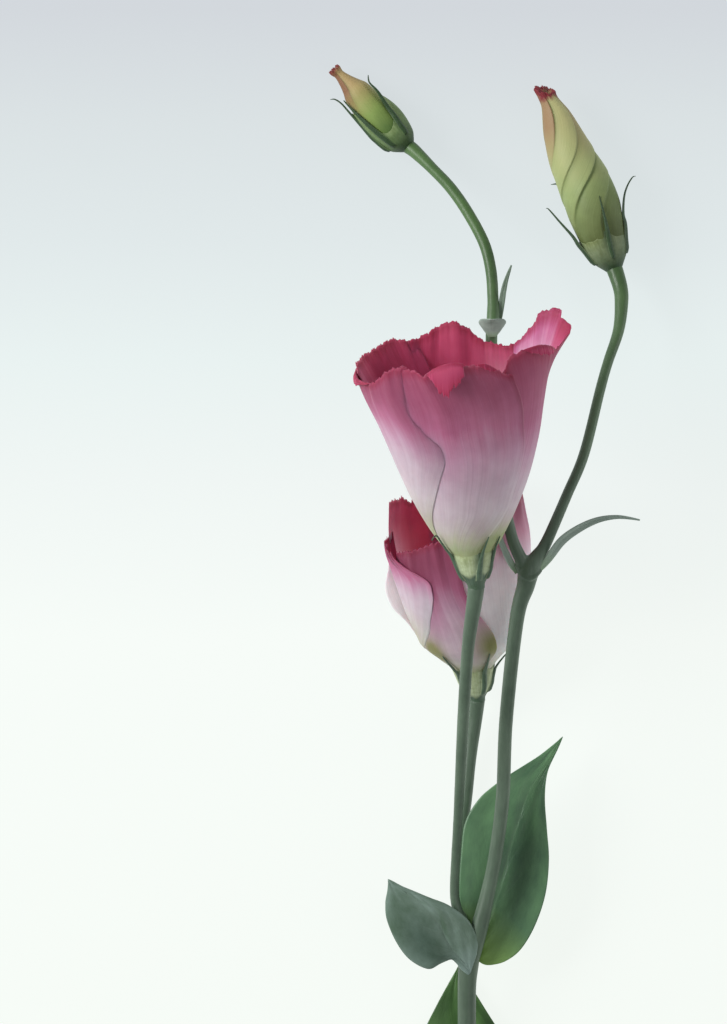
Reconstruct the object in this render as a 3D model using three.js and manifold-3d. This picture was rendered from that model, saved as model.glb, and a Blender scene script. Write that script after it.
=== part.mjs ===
// Lisianthus flower: one cut, forked stem with two open blooms, two buds, leaves and bracts, laid down.
// Millimetres. +Y runs from the cut end towards the buds and +Z is up from the surface it lies on.
// Places are written from the centre of the cut end; the last lines move the whole to its own origin.
import * as THREE from "three";
import { mergeVertices } from "three/addons/utils/BufferGeometryUtils.js";
import Module from "manifold-3d";

const wasm = await Module();
wasm.setup();

// Driving dimensions
const petalThickness = 0.7;
const leafThickness = 0.7;
const sepalThickness = 0.7;
const seatGap = 0.3; // clear space between neighbouring pieces
const stemSides = 8;
const cupSides = 15;
const petalRows = 9;
const petalColumns = 6;
const layerStep = 0.9; // how far a petal's outer margin stands off its middle
const corollaFloor = 2.7; // height above the pedicel where a corolla tube starts
const tubeTop = 9;
const degree = Math.PI / 180;

const finishes = {
  stem: { color: 0x55735a, roughness: 0.55 },
  leaf: { color: 0x3c5f3c, roughness: 0.5 },
  sepal: { color: 0x56794c, roughness: 0.5 },
  petal: { color: 0xb9547f, roughness: 0.6 },
  pistil: { color: 0xb7c04f, roughness: 0.55 },
  bud: { color: 0xa4ab70, roughness: 0.6 },
};

// Stems: each route is a list of x, y, z and radius
const mainRoute = [
  [0, 0, 2.17, 2.4],
  [0, 5, 2.3, 2.4],
  [0, 14, 4.4, 2.4],
  [0.1, 37.5, 8.3, 2.35],
  [0.1, 55, 11, 2.35],
  [0.6, 64, 12.8, 2.8],
  [-1.2, 71, 14.6, 2],
  [-3, 78, 16.6, 1.75],
  [-2.8, 87.5, 20, 1.7],
  [-2.2, 98.3, 24.5, 1.7],
  [-1, 122.5, 35, 1.7],
  [0.1, 140, 42.3, 1.7],
  [1.7, 152, 46.7, 1.75],
  [2.2, 156, 47.8, 1.95],
];
const backRoute = [
  [0.8, 62, 12.5, 2],
  [-0.6, 69, 11.6, 1.9],
  [-2.4, 76, 9, 1.75],
  [-3.4, 85, 6.2, 1.7],
  [-2.2, 93.8, 4.6, 1.7],
  [-0.3, 101.3, 3.7, 1.7],
  [0.8, 112.5, 3.3, 1.75],
  [2.2, 122.5, 4.5, 1.8],
  [2.7, 127.5, 6.12, 1.95],
];
const rightRoute = [
  [0.9, 61, 12.3, 2],
  [3, 69.3, 14.6, 2.2],
  [5.3, 78.9, 16.6, 1.85],
  [7.2, 88.5, 18.8, 1.75],
  [9, 103.1, 22.2, 1.75],
  [9.8, 122.5, 27, 1.75],
  [12.4, 147.5, 33.2, 1.85],
  [14.4, 156, 35.2, 2.1],
  [15.5, 160.2, 35.8, 2.5],
  [17.4, 163.2, 35.6, 1.9],
  [19.8, 167, 34.8, 1.5],
  [25, 178.8, 31.3, 1.35],
  [29.3, 189, 27.3, 1.35],
  [33.4, 205, 20.8, 1.3],
  [35.4, 212, 18.2, 1.3],
  [38.1, 220, 15, 1.45],
  [38.9, 227, 12.2, 1.65],
  [38.6, 231, 10.4, 1.65],
  [37.07, 236, 8.7, 1.75],
];
const topRoute = [
  [14.6, 158, 35.4, 1.8],
  [13.6, 162.2, 36.4, 1.7],
  [11.3, 167.8, 37.6, 1.5],
  [9.2, 177.5, 37.5, 1.45],
  [7.5, 192.5, 36.1, 1.4],
  [6.5, 206.8, 34, 1.4],
  [6.1, 217.5, 31.6, 1.5],
  [6.5, 223.2, 29.9, 1.6],
  [6.5, 228, 28.5, 1.45],
  [6, 235, 26.4, 1.45],
  [4.3, 241.8, 24, 1.45],
  [0.3, 249.5, 19.9, 1.45],
  [-4, 255.8, 15.6, 1.45],
  [-8.8, 261, 10.9, 1.45],
  [-13, 265.2, 7, 1.5],
  [-14.85, 266.6, 5.75, 1.6],
];

// Blooms: base is where the calyx sits, lean turns the axis left and tilt lifts it off the table
const frontBloom = {
  base: [2.25, 155.5, 47.68],
  lean: 6,
  tilt: 13,
  cup: [
    [7, 3.8], [9, 4.6], [10.6, 5.5], [13.1, 7.9], [19.3, 11.4], [27, 15], [36.6, 18.2],
    [44.3, 20.4], [52.6, 22.8], [60.5, 25],
  ],
  petals: [
    { at: -70, outer: [14, 20, 50, 59, 50, 32], inner: [62, 58, 52, 50, 46, 36], reach: 1, curl: 16 },
    { at: 0, outer: [14, 44, 50, 54, 52, 42], inner: [60, 58, 54, 50, 46, 36], reach: 1, curl: 6 },
    { at: 84, outer: [30, 44, 52, 56, 52, 36], inner: [60, 56, 52, 46, 44, 30], reach: 1.15, curl: 34 },
    { at: 172, outer: [30, 42, 48, 50, 42, 26], inner: [66, 66, 64, 60, 50, 30], reach: 1.03, curl: 8 },
    { at: -128, outer: [30, 38, 46, 50, 46, 34], inner: [60, 56, 52, 50, 44, 32], reach: 1, curl: 22 },
  ],
  sepals: [
    { at: -88, length: 14.5, curl: 110 },
    { at: 26, length: 13.5, curl: 6 },
    { at: 92, length: 12, curl: 16 },
    { at: 165, length: 14, curl: 50 },
    { at: -150, length: 14, curl: 40 },
  ],
};
const backBloom = {
  base: [2.75, 127, 5.8],
  lean: 6.6,
  tilt: 20,
  cup: [
    [7, 3.8], [9, 4.6], [10.6, 5.6], [15.2, 10], [20, 12.8], [27.1, 15.4], [36, 17],
    [42.8, 17.6], [49, 17.3], [55, 17],
  ],
  petals: [
    { at: -62, outer: [30, 44, 56, 58, 50, 34], inner: [60, 58, 54, 50, 44, 32], reach: 0.9, curl: 18 },
    { at: 12, outer: [14, 26, 36, 42, 40, 34], inner: [66, 62, 56, 52, 48, 36], reach: 0.84, curl: 0 },
    { at: 80, outer: [30, 44, 52, 54, 50, 36], inner: [60, 60, 60, 58, 50, 36], reach: 1, curl: 4 },
    { at: 152, outer: [30, 42, 50, 54, 50, 36], inner: [62, 58, 52, 50, 44, 32], reach: 1, curl: 14 },
    { at: -136, outer: [30, 40, 50, 52, 48, 34], inner: [62, 58, 52, 50, 44, 32], reach: 1, curl: 16 },
  ],
  sepals: [
    { at: -80, length: 17, curl: 26 },
    { at: -10, length: 15, curl: 10 },
    { at: 44, length: 17, curl: 12 },
    { at: 118, length: 15, curl: 18 },
    { at: -150, length: 15, curl: 18 },
  ],
};

// Cup and receptacle of a bloom's calyx as height and radius, up the outside and down the inside
const calyxCup = [
  [0, 1.95], [1.4, 2.3], [3.2, 3.5], [5.2, 4.5], [7.6, 5.5], [7.8, 5.1], [5.2, 3.9], [3.4, 2.9],
  [2.4, 2.5],
];
const tubeMiddle = [[corollaFloor, 1.85], [5, 2.85], [7, 3.8], [tubeTop, 4.6]];
const tubeHalfWall = 0.4;

// Buds: profile is height and radius, side is how far the middle bows to the right
const rightBud = {
  base: [37.25, 235.55, 8.6],
  lean: 21.3,
  tilt: -0.6,
  side: 0.8,
  profile: [
    [2, 1.6], [3, 3.2], [5, 4.6], [8, 5.7], [12.3, 6.7], [16, 7], [20, 6.8], [24, 6.5],
    [28, 6.15], [32.5, 5.5], [37, 4.5], [41, 3.3], [44.3, 2.2], [46.6, 1.7],
  ],
  step: 0.9,
  twist: 130,
  sepals: [
    { at: -86, length: 19, curl: 64 },
    { at: 22, length: 17, curl: 2 },
    { at: 84, length: 22, curl: 62 },
    { at: 156, length: 18, curl: 4 },
    { at: -134, length: 19, curl: 3 },
  ],
  cup: [[0, 1.75], [1.2, 2.9], [2.6, 4.4], [5, 5.9], [5.1, 5.5], [3.6, 4.4], [2.2, 2.7], [1.6, 1.9]],
};
const topBud = {
  base: [-14.5, 266.25, 5.7],
  lean: 44.6,
  tilt: -1,
  side: 0,
  profile: [
    [1.8, 1.3], [2.6, 2.5], [4.5, 3.5], [7, 4.1], [10, 4.35], [13, 4.2], [16, 3.75], [19, 3.1],
    [22, 2.3], [25, 1.6], [27, 1.4],
  ],
  step: 0.6,
  twist: 120,
  sepals: [
    { at: -92, length: 19.5, curl: 46 },
    { at: -18, length: 15, curl: 3 },
    { at: 62, length: 17.5, curl: 40 },
    { at: 134, length: 16, curl: 4 },
    { at: -160, length: 16, curl: 2 },
  ],
  cup: [[0, 1.6], [1, 2.4], [2.2, 3.4], [4.2, 4.6], [4.3, 4.25], [3.2, 3.5], [2, 2.2], [1.4, 1.5]],
};

// Leaves and bracts: middle is the midrib from base to tip, then half widths at even steps along it.
// cup lifts the margins, wave ripples them, turn rolls the blade about its midrib.
const leaves = {
  right_leaf: {
    middle: [
      [2.9, 62.5, 9.9], [6.3, 68, 10.2], [8.3, 77.5, 10.9], [9.5, 87.5, 11.4], [11.3, 98.8, 11.6],
      [14.3, 106.3, 10.9], [18.5, 112.5, 9.6], [24.2, 118.4, 8],
    ],
    left: [1.6, 6.8, 9, 10.4, 11.2, 10.8, 9.6, 6.2, 2.6, 1.2, 0.4],
    right: [3.6, 8.4, 10.8, 11.8, 11.6, 10.4, 8.6, 6.6, 4.2, 1.8, 0.4],
    cup: 0.6, wave: 0.25, turn: 0, rows: 14, columns: 8,
  },
  left_leaf: {
    middle: [
      [0.6, 58.5, 14.1], [-2.2, 63, 16.4], [-4.9, 66.8, 18.3], [-7.2, 71.3, 19.8],
      [-10.5, 75.5, 20.8], [-14.8, 79.3, 21.4], [-19.6, 82.7, 21.8],
    ],
    left: [0.8, 1, 5, 8.4, 9.8, 10.4, 10.3, 8.8, 6.6, 3.6, 0.4],
    right: [0.8, 4.6, 7.4, 7.8, 6.6, 5.2, 3.8, 2.8, 2, 1.2, 0.4],
    cup: -1.6, wave: 0, turn: 0, rows: 12, columns: 8,
  },
  lower_leaf: {
    middle: [
      [0, 10, 0.85], [-0.4, 22, 1.1], [-1, 34, 1.6], [-1.6, 46, 2.2], [-2, 60.4, 2.6],
    ],
    left: [1.2, 4.6, 8.6, 11.4, 12.6, 12.2, 10.6, 8.2, 5.4, 2.6, 0.4],
    right: [1.2, 4.8, 9, 11.8, 12.6, 12.4, 10.8, 8.4, 5.6, 2.8, 0.4],
    cup: 1.2, wave: 0.2, turn: 0, rows: 12, columns: 8,
  },
  right_bract: {
    middle: [
      [18.6, 160, 34.2], [20.8, 163.6, 35.2], [24.6, 168.4, 37], [30.8, 172, 38.4],
      [37, 173.3, 38.6], [43.1, 172.5, 37.8],
    ],
    left: [0.7, 1, 1.2, 1.3, 1.3, 1.2, 1, 0.8, 0.6, 0.45, 0.3],
    right: [0.7, 1, 1.3, 1.4, 1.4, 1.3, 1.1, 0.9, 0.7, 0.5, 0.3],
    cup: 0.3, wave: 0, turn: 35, rows: 10, columns: 2,
  },
  left_bract: {
    middle: [[12.4, 159.2, 34.6], [10, 163.6, 36.6], [8, 168.5, 38], [6.2, 176, 38.9]],
    left: [0.7, 0.9, 1, 1, 1, 0.9, 0.8, 0.7, 0.6, 0.5, 0.4],
    right: [0.7, 0.9, 1, 1, 1, 0.9, 0.8, 0.7, 0.6, 0.5, 0.4],
    cup: 0.2, wave: 0, turn: 0, rows: 6, columns: 2,
  },
  bud_bract_long: {
    middle: [[8.1, 221.8, 28.5], [8.7, 227, 29.2], [9.6, 231.8, 30], [11.1, 236.2, 30.6]],
    left: [0.5, 0.6, 0.7, 0.75, 0.75, 0.7, 0.65, 0.55, 0.45, 0.35, 0.3],
    right: [0.5, 0.6, 0.7, 0.75, 0.75, 0.7, 0.65, 0.55, 0.45, 0.35, 0.3],
    cup: 0.2, wave: 0, turn: 0, rows: 6, columns: 2,
  },
  bud_bract_small: {
    middle: [[6.3, 218.2, 33.4], [6.3, 220, 33.8], [6.3, 221.7, 35.4], [6.3, 222.6, 37.6]],
    left: [0.9, 1.4, 2, 2.6, 3.1, 3.4, 3.3, 2.9, 2.3, 1.5, 0.6],
    right: [0.9, 1.4, 2, 2.6, 3.1, 3.4, 3.3, 2.9, 2.3, 1.5, 0.6],
    cup: -1, wave: 0, turn: 0, rows: 6, columns: 6,
  },
};

// Shapes

// Value at t, from 0 to 1, of evenly spaced numbers joined by a smooth curve.
function along(values, t) {
  const place = THREE.MathUtils.clamp(t, 0, 1) * (values.length - 1);
  const index = Math.min(Math.floor(place), values.length - 2);
  const before = values[Math.max(index - 1, 0)];
  const after = values[Math.min(index + 2, values.length - 1)];
  const [start, end] = [values[index], values[index + 1]];
  const [leave, arrive] = [(end - before) / 2, (after - start) / 2];
  const f = place - index;
  return start + f * (leave + f * (3 * (end - start) - 2 * leave - arrive
    + f * (2 * (start - end) + leave + arrive)));
}

// Points and triangles as a geometry whose faces point out.
function closedGeometry(points, faces) {
  const volume = faces.reduce((sum, [a, b, c]) => {
    const normal = new THREE.Vector3().crossVectors(points[b], points[c]);
    return sum + points[a].dot(normal);
  }, 0);
  const ordered = volume > 0 ? faces : faces.map(([a, b, c]) => [a, c, b]);
  const geometry = new THREE.BufferGeometry().setFromPoints(points);
  geometry.setIndex(ordered.flat());
  return geometry;
}

// A skin through rings of equally many points, capped at both ends, or joined end to start.
function ringSkin(rings, endless = false) {
  const sides = rings[0].length;
  const points = rings.flat();
  const faces = [];
  const bands = endless ? rings.length : rings.length - 1;
  for (let i = 0; i < bands; i += 1) {
    const next = ((i + 1) % rings.length) * sides;
    for (let j = 0; j < sides; j += 1) {
      const k = (j + 1) % sides;
      faces.push([i * sides + j, i * sides + k, next + k], [i * sides + j, next + k, next + j]);
    }
  }
  if (!endless) {
    for (const [first, flip] of [[0, true], [points.length - sides, false]]) {
      const middle = points.length;
      const ring = rings[first / sides];
      points.push(ring.reduce((sum, p) => sum.add(p), new THREE.Vector3()).divideScalar(sides));
      for (let j = 0; j < sides; j += 1) {
        const pair = [first + j, first + ((j + 1) % sides)];
        faces.push(flip ? [pair[1], pair[0], middle] : [pair[0], pair[1], middle]);
      }
    }
  }
  return closedGeometry(points, faces);
}

// A blade of even thickness round a grid of points, split alike on both faces.
function bladeSkin(grid, thickness) {
  const [rows, columns] = [grid.length, grid[0].length];
  const faceUp = [];
  const faceDown = [];
  for (let i = 0; i < rows; i += 1) {
    for (let j = 0; j < columns; j += 1) {
      const ahead = grid[Math.min(i + 1, rows - 1)][j].clone().sub(grid[Math.max(i - 1, 0)][j]);
      const across = grid[i][Math.min(j + 1, columns - 1)].clone().sub(grid[i][Math.max(j - 1, 0)]);
      const half = ahead.cross(across).setLength(thickness / 2);
      faceUp.push(grid[i][j].clone().add(half));
      faceDown.push(grid[i][j].clone().sub(half));
    }
  }
  const under = rows * columns;
  const at = (i, j) => i * columns + j;
  const faces = [];
  for (let i = 0; i < rows - 1; i += 1) {
    for (let j = 0; j < columns - 1; j += 1) {
      const [a, b, c, d] = [at(i, j), at(i, j + 1), at(i + 1, j + 1), at(i + 1, j)];
      faces.push([a, b, c], [a, c, d], [under + a, under + c, under + b]);
      faces.push([under + a, under + d, under + c]);
    }
  }
  const rim = [];
  for (let j = 0; j < columns - 1; j += 1) rim.push(at(0, j));
  for (let i = 0; i < rows - 1; i += 1) rim.push(at(i, columns - 1));
  for (let j = columns - 1; j > 0; j -= 1) rim.push(at(rows - 1, j));
  for (let i = rows - 1; i > 0; i -= 1) rim.push(at(i, 0));
  rim.forEach((p, index) => {
    const q = rim[(index + 1) % rim.length];
    faces.push([q, p, under + p], [q, under + p, under + q]);
  });
  return closedGeometry([...faceUp, ...faceDown], faces);
}

function solidOf(geometry) {
  const bare = geometry.clone();
  bare.deleteAttribute("normal");
  bare.deleteAttribute("uv");
  const merged = mergeVertices(bare);
  return new wasm.Manifold(new wasm.Mesh({
    numProp: 3,
    vertProperties: new Float32Array(merged.attributes.position.array),
    triVerts: new Uint32Array(merged.index.array),
  }));
}

// One body from several: loose scraps are dropped and sealed hollows are filled.
function fuse(geometries) {
  const whole = geometries.map(solidOf).reduce((sum, solid) => sum.add(solid));
  return largestBody(whole);
}

function largestBody(solid) {
  return solid.decompose().reduce((best, body) => (body.volume() > best.volume() ? body : best));
}

// What reaches below the surface is flattened on it.
const tableDepth = 100;
const table = new THREE.BoxGeometry(1000, 1000, tableDepth).translate(0, 0, -tableDepth / 2);
const underTable = solidOf(table);
const restingOn = (solid) => largestBody(solid.subtract(underTable));

function pieceFrom(name, solid, finish) {
  const cut = solid.getMesh();
  const geometry = new THREE.BufferGeometry();
  geometry.setAttribute("position", new THREE.BufferAttribute(cut.vertProperties, 3));
  geometry.setIndex(new THREE.BufferAttribute(cut.triVerts, 1));
  geometry.computeVertexNormals();
  const mesh = new THREE.Mesh(geometry, new THREE.MeshStandardMaterial({ ...finishes[finish], metalness: 0 }));
  mesh.name = name;
  return mesh;
}

// A round stem along a route, with extra added to its radius.
function stemAlong(route, stepsPerSpan = 2, extra = 0) {
  const line = new THREE.CatmullRomCurve3(route.map(([x, y, z]) => new THREE.Vector3(x, y, z)));
  const steps = (route.length - 1) * stepsPerSpan;
  const rings = [];
  for (let i = 0; i <= steps; i += 1) {
    const t = i / steps;
    const centre = line.getPoint(t);
    const heading = line.getTangent(t);
    const side = new THREE.Vector3().crossVectors(heading, new THREE.Vector3(0, 0, 1)).normalize();
    const up = new THREE.Vector3().crossVectors(side, heading);
    const radius = along(route.map((spot) => spot[3]), t) + extra;
    rings.push(Array.from({ length: stemSides }, (unused, j) => {
      const turn = ((j + 0.5) / stemSides) * 2 * Math.PI; // half a side on, so that a flat faces down
      return centre.clone().addScaledVector(side, radius * Math.cos(turn))
        .addScaledVector(up, radius * Math.sin(turn));
    }));
  }
  return ringSkin(rings);
}

// The frame of a bloom or bud: place(height, radius, azimuth) with azimuth 0 up and 90 to the right.
function axisFrame({ base, lean, tilt }) {
  const [turn, rise] = [lean * degree, tilt * degree];
  const axis = new THREE.Vector3(
    -Math.sin(turn) * Math.cos(rise), Math.cos(turn) * Math.cos(rise), Math.sin(rise));
  const up = new THREE.Vector3(0, 0, 1).addScaledVector(axis, -axis.z).normalize();
  const right = new THREE.Vector3().crossVectors(axis, up);
  return (height, radius, azimuth) => new THREE.Vector3(...base)
    .addScaledVector(axis, height)
    .addScaledVector(up, radius * Math.cos(azimuth))
    .addScaledVector(right, radius * Math.sin(azimuth));
}

function lathed(place, profile, sides, endless = false) {
  return ringSkin(profile.map(([height, radius]) => Array.from({ length: sides }, (unused, j) =>
    place(height, radius, (j / sides) * 2 * Math.PI))), endless);
}

// Radius of a profile at a height.
function radiusAt(profile, height) {
  const last = profile.length - 1;
  const index = Math.min(Math.max(profile.findIndex((spot) => spot[0] > height), 1), last);
  const spot = height >= profile[last][0] ? last : index;
  const [[lowAt, low], [highAt, high]] = [profile[spot - 1], profile[spot]];
  return low + ((high - low) * (height - lowAt)) / (highAt - lowAt);
}

// A petal: its line climbs the cup and bends outwards by curl over its last third. Its outer margin
// stands off the next petal and its inner margin lies under the last one.
function petalBlade(place, cup, { at, outer, inner, reach, curl }) {
  const climb = new THREE.SplineCurve(cup.map(([height, radius]) => new THREE.Vector2(height, radius)));
  const length = climb.getLength() * reach;
  const grid = Array.from({ length: petalRows + 1 }, () => []);
  const stepsPerRow = 4;
  for (let j = 0; j <= petalColumns; j += 1) {
    const v = (2 * j) / petalColumns - 1;
    const cornerDrop = 1 - 0.05 * v * v;
    const spot = climb.getPoint(0);
    for (let i = 0; i <= petalRows * stepsPerRow; i += 1) {
      const u = i / (petalRows * stepsPerRow);
      if (i % stepsPerRow === 0) {
        const half = (along(outer, u) + along(inner, u)) / 2;
        const middle = at + (along(outer, u) - along(inner, u)) / 2;
        const stand = layerStep * v * Math.min(1, 0.3 + 2 * u);
        grid[i / stepsPerRow].push(place(spot.x, spot.y + stand, (middle + half * v) * degree));
      }
      const bend = curl * degree * Math.max(0, (u - 0.66) / 0.34) ** 2;
      const slope = climb.getTangentAt(Math.min(u * reach, 1)).angle() + bend;
      const step = (length * cornerDrop) / (petalRows * stepsPerRow);
      spot.add(new THREE.Vector2(Math.cos(slope), Math.sin(slope)).multiplyScalar(step));
    }
  }
  return bladeSkin(grid, petalThickness);
}

// A sepal: a narrow keeled blade that follows what it hugs and bends outwards near its tip.
function sepalBlade(place, hugged, { at, length, curl, width, root }) {
  const rows = 6;
  const grid = [];
  let [height, radius] = [root, hugged(root)];
  const fineSteps = 4;
  for (let i = 0; i <= rows * fineSteps; i += 1) {
    const u = i / (rows * fineSteps);
    if (i % fineSteps === 0) {
      const half = Math.max(width * (1 - u) ** 0.8, 0.3);
      grid.push([-1, 0, 1].map((v) => {
        const keel = v === 0 ? 0.25 : 0;
        return place(height, radius + keel, at * degree + (v * half) / radius);
      }));
    }
    const slope = (hugged(height + 0.5) - hugged(height)) / 0.5;
    const bend = Math.atan(slope) + curl * degree * Math.max(0, (u - 0.6) / 0.4) ** 1.2;
    const step = length / (rows * fineSteps);
    height += step * Math.cos(bend);
    radius += step * Math.sin(bend);
  }
  return bladeSkin(grid, sepalThickness);
}

function bloomCalyx(bloom) {
  const place = axisFrame(bloom);
  const hugged = (height) => (height < 8
    ? radiusAt(calyxCup.slice(0, 5), height) - 0.1
    : radiusAt(bloom.cup, height) + layerStep + petalThickness / 2 + sepalThickness / 2 + seatGap);
  const sepals = bloom.sepals.map((sepal) => sepalBlade(place, hugged, { ...sepal, width: 2.2, root: 3.4 }));
  return fuse([lathed(place, calyxCup, cupSides), ...sepals]);
}

// Filament and anther of a stamen that grows from the corolla tube.
function stamen(place, azimuth) {
  const line = new THREE.CatmullRomCurve3([
    place(8, 4.4, azimuth), place(13, 4.4, azimuth), place(19.5, 4.2, azimuth),
  ]);
  const rings = [0, 0.5, 1].map((t) => {
    const centre = line.getPoint(t);
    return [0, 1, 2, 3, 4].map((j) => centre.clone()
      .add(place(0, 0.4, (j / 5) * 2 * Math.PI)).sub(place(0, 0, 0)));
  });
  const anther = [[18.6, 0.3], [19.4, 0.8], [21.4, 0.8], [22.8, 0.3]];
  const shift = place(0, 4.2, azimuth).sub(place(0, 0, 0));
  const pollen = lathed((height, radius, turn) => place(height, radius, turn).add(shift), anther, 6);
  return [ringSkin(rings), pollen];
}

function bloomCorolla(bloom) {
  const place = axisFrame(bloom);
  const outside = tubeMiddle.map(([height, radius]) => [height, radius + tubeHalfWall]);
  const inside = tubeMiddle.map(([height, radius]) => [height, radius - tubeHalfWall]).reverse();
  const tube = lathed(place, [...outside, ...inside], cupSides, true);
  const petals = bloom.petals.map((petal) => petalBlade(place, bloom.cup, petal));
  const stamens = [0, 1, 2, 3, 4].flatMap((k) => stamen(place, (36 + 72 * k) * degree));
  return fuse([tube, ...petals, ...stamens]);
}

// Ovary, style and the two rounded lobes of the stigma.
function bloomPistil(bloom) {
  const place = axisFrame(bloom);
  const column = [
    [corollaFloor, 1], [5, 1.5], [8.5, 2.1], [12, 1.7], [14, 0.8], [15, 0.6], [19, 0.6], [20.5, 1.2],
  ];
  const lobes = [0, 180].map((azimuth) => {
    const shift = place(0, 1.5, azimuth * degree).sub(place(0, 0, 0));
    const lobe = [[19.3, 0.5], [20.2, 1.6], [21.6, 1.6], [22.6, 0.5]];
    return lathed((height, radius, turn) => place(height, radius, turn).add(shift), lobe, 8);
  });
  return fuse([lathed(place, column, 8), ...lobes]);
}

// A closed bud: five petal margins wind round it, each a low step.
function budCorolla(bud) {
  const place = axisFrame(bud);
  const sides = 25;
  const [start, end] = [bud.profile[0][0], bud.profile.at(-1)[0]];
  const bow = (height) => bud.side * Math.sin((Math.PI * (height - start)) / (end - start));
  const rings = bud.profile.map(([height, radius]) => {
    const t = (height - start) / (end - start);
    const relief = bud.step * Math.min(1, radius / 3) * Math.min(1, 5 * t);
    return Array.from({ length: sides }, (unused, j) => {
      const azimuth = (j / sides) * 2 * Math.PI;
      const lobe = ((j * 5) / sides) % 1;
      const spot = place(height, radius + relief * (lobe - 0.4), azimuth + bud.twist * degree * t);
      const middle = place(0, bow(height), Math.PI / 2).sub(place(0, 0, 0));
      return spot.add(middle);
    });
  });
  return ringSkin(rings);
}

function budCalyx(bud) {
  const place = axisFrame(bud);
  const cupTop = bud.cup.findIndex((spot, index) => bud.cup[index + 1][0] - spot[0] < 0.2);
  const rim = bud.cup[cupTop][0];
  const hugged = (height) => (height < rim
    ? radiusAt(bud.cup.slice(0, cupTop + 1), height) - 0.1
    : radiusAt(bud.profile, height) + bud.step * 0.6 + sepalThickness / 2 + seatGap
      + bud.side * 0.5);
  const width = bud.cup[cupTop][1] * 0.42;
  const sepals = bud.sepals.map((sepal) => sepalBlade(place, hugged, { ...sepal, width, root: rim * 0.6 }));
  return fuse([lathed(place, bud.cup, cupSides), ...sepals]);
}

// A leaf seen from above: its outline lies in plan, its height comes from the midrib, cup and wave.
function leafBlade({ middle, left, right, cup, wave, turn, rows, columns }) {
  const line = new THREE.CatmullRomCurve3(middle.map((spot) => new THREE.Vector3(...spot)));
  const grid = [];
  for (let i = 0; i <= rows; i += 1) {
    const u = i / rows;
    const centre = line.getPointAt(u);
    const heading = line.getTangentAt(u);
    const side = new THREE.Vector3(heading.y, -heading.x, 0).normalize().applyAxisAngle(heading, turn * degree);
    const lift = new THREE.Vector3().crossVectors(side, heading);
    const row = [];
    for (let j = 0; j <= columns; j += 1) {
      const v = (2 * j) / columns - 1;
      const across = v < 0 ? v * along(left, u) : v * along(right, u);
      const rise = cup * v * v * Math.sin(Math.PI * u) + wave * v * Math.sin(5 * Math.PI * u);
      row.push(centre.clone().addScaledVector(side, across).addScaledVector(lift, rise));
    }
    grid.push(row);
  }
  return bladeSkin(grid, leafThickness);
}

// The space that a bloom or bud takes from the end of its stem.
const seatOf = (bloom) => solidOf(lathed(axisFrame(bloom), [[-seatGap, 4], [6, 4]], 12));

// The flower
const routes = [mainRoute, backRoute, rightRoute, topRoute];
const stem = [frontBloom, backBloom, rightBud, topBud].map(seatOf)
  .reduce((cut, seat) => cut.subtract(seat), fuse(routes.map((route) => stemAlong(route))));
const stemSpace = fuse(routes.map((route) => stemAlong(route, 2, seatGap)));

const flower = new THREE.Group();
flower.add(pieceFrom("branched_stem", restingOn(stem), "stem"));
for (const [name, leaf] of Object.entries(leaves)) {
  const blade = largestBody(solidOf(leafBlade(leaf)).subtract(stemSpace));
  flower.add(pieceFrom(name, restingOn(blade), "leaf"));
}
for (const [name, bloom] of [["front", frontBloom], ["back", backBloom]]) {
  flower.add(pieceFrom(`${name}_calyx`, restingOn(bloomCalyx(bloom)), "sepal"));
  flower.add(pieceFrom(`${name}_corolla`, restingOn(bloomCorolla(bloom)), "petal"));
  flower.add(pieceFrom(`${name}_pistil`, bloomPistil(bloom), "pistil"));
}
for (const [name, bud] of [["right_bud", rightBud], ["top_bud", topBud]]) {
  flower.add(pieceFrom(`${name}_calyx`, restingOn(budCalyx(bud)), "sepal"));
  flower.add(pieceFrom(`${name}_corolla`, restingOn(solidOf(budCorolla(bud))), "bud"));
}

// The origin is under the middle of the whole, on the surface.
const reach = new THREE.Box3().setFromObject(flower);
const centre = reach.getCenter(new THREE.Vector3());
flower.position.set(-centre.x, -centre.y, -reach.min.z);

export default flower;
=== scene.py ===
import bpy
import numpy as np
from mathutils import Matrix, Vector


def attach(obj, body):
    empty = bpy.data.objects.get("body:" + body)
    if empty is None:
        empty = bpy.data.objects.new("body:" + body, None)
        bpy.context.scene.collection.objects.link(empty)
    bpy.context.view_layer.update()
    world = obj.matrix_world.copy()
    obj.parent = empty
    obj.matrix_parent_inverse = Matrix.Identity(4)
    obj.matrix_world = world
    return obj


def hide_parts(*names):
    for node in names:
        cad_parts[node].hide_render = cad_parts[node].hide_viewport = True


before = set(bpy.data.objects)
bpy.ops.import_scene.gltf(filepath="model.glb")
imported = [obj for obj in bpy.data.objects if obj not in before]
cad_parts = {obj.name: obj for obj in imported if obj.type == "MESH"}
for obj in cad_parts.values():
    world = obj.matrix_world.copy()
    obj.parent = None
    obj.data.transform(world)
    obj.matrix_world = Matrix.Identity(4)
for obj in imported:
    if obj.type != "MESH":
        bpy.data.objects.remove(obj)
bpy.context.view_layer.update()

# The cut end's centre in the frame is where all the measures below start.
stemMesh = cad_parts["branched_stem"].data
stemPoints = np.empty(len(stemMesh.vertices) * 3)
stemMesh.vertices.foreach_get("co", stemPoints)
stemPoints = stemPoints.reshape(-1, 3)
cutEnd = stemPoints[stemPoints[:, 1] < stemPoints[:, 1].min() + 1e-5]
cutCentre = np.array([
    (cutEnd[:, 0].min() + cutEnd[:, 0].max()) / 2, stemPoints[:, 1].min(), stemPoints[:, 2].min(),
])
mm = 0.001
lowest = 0.02 * mm
print("frame loaded, cut end at", cutCentre)


# Numbers and curves

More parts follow.
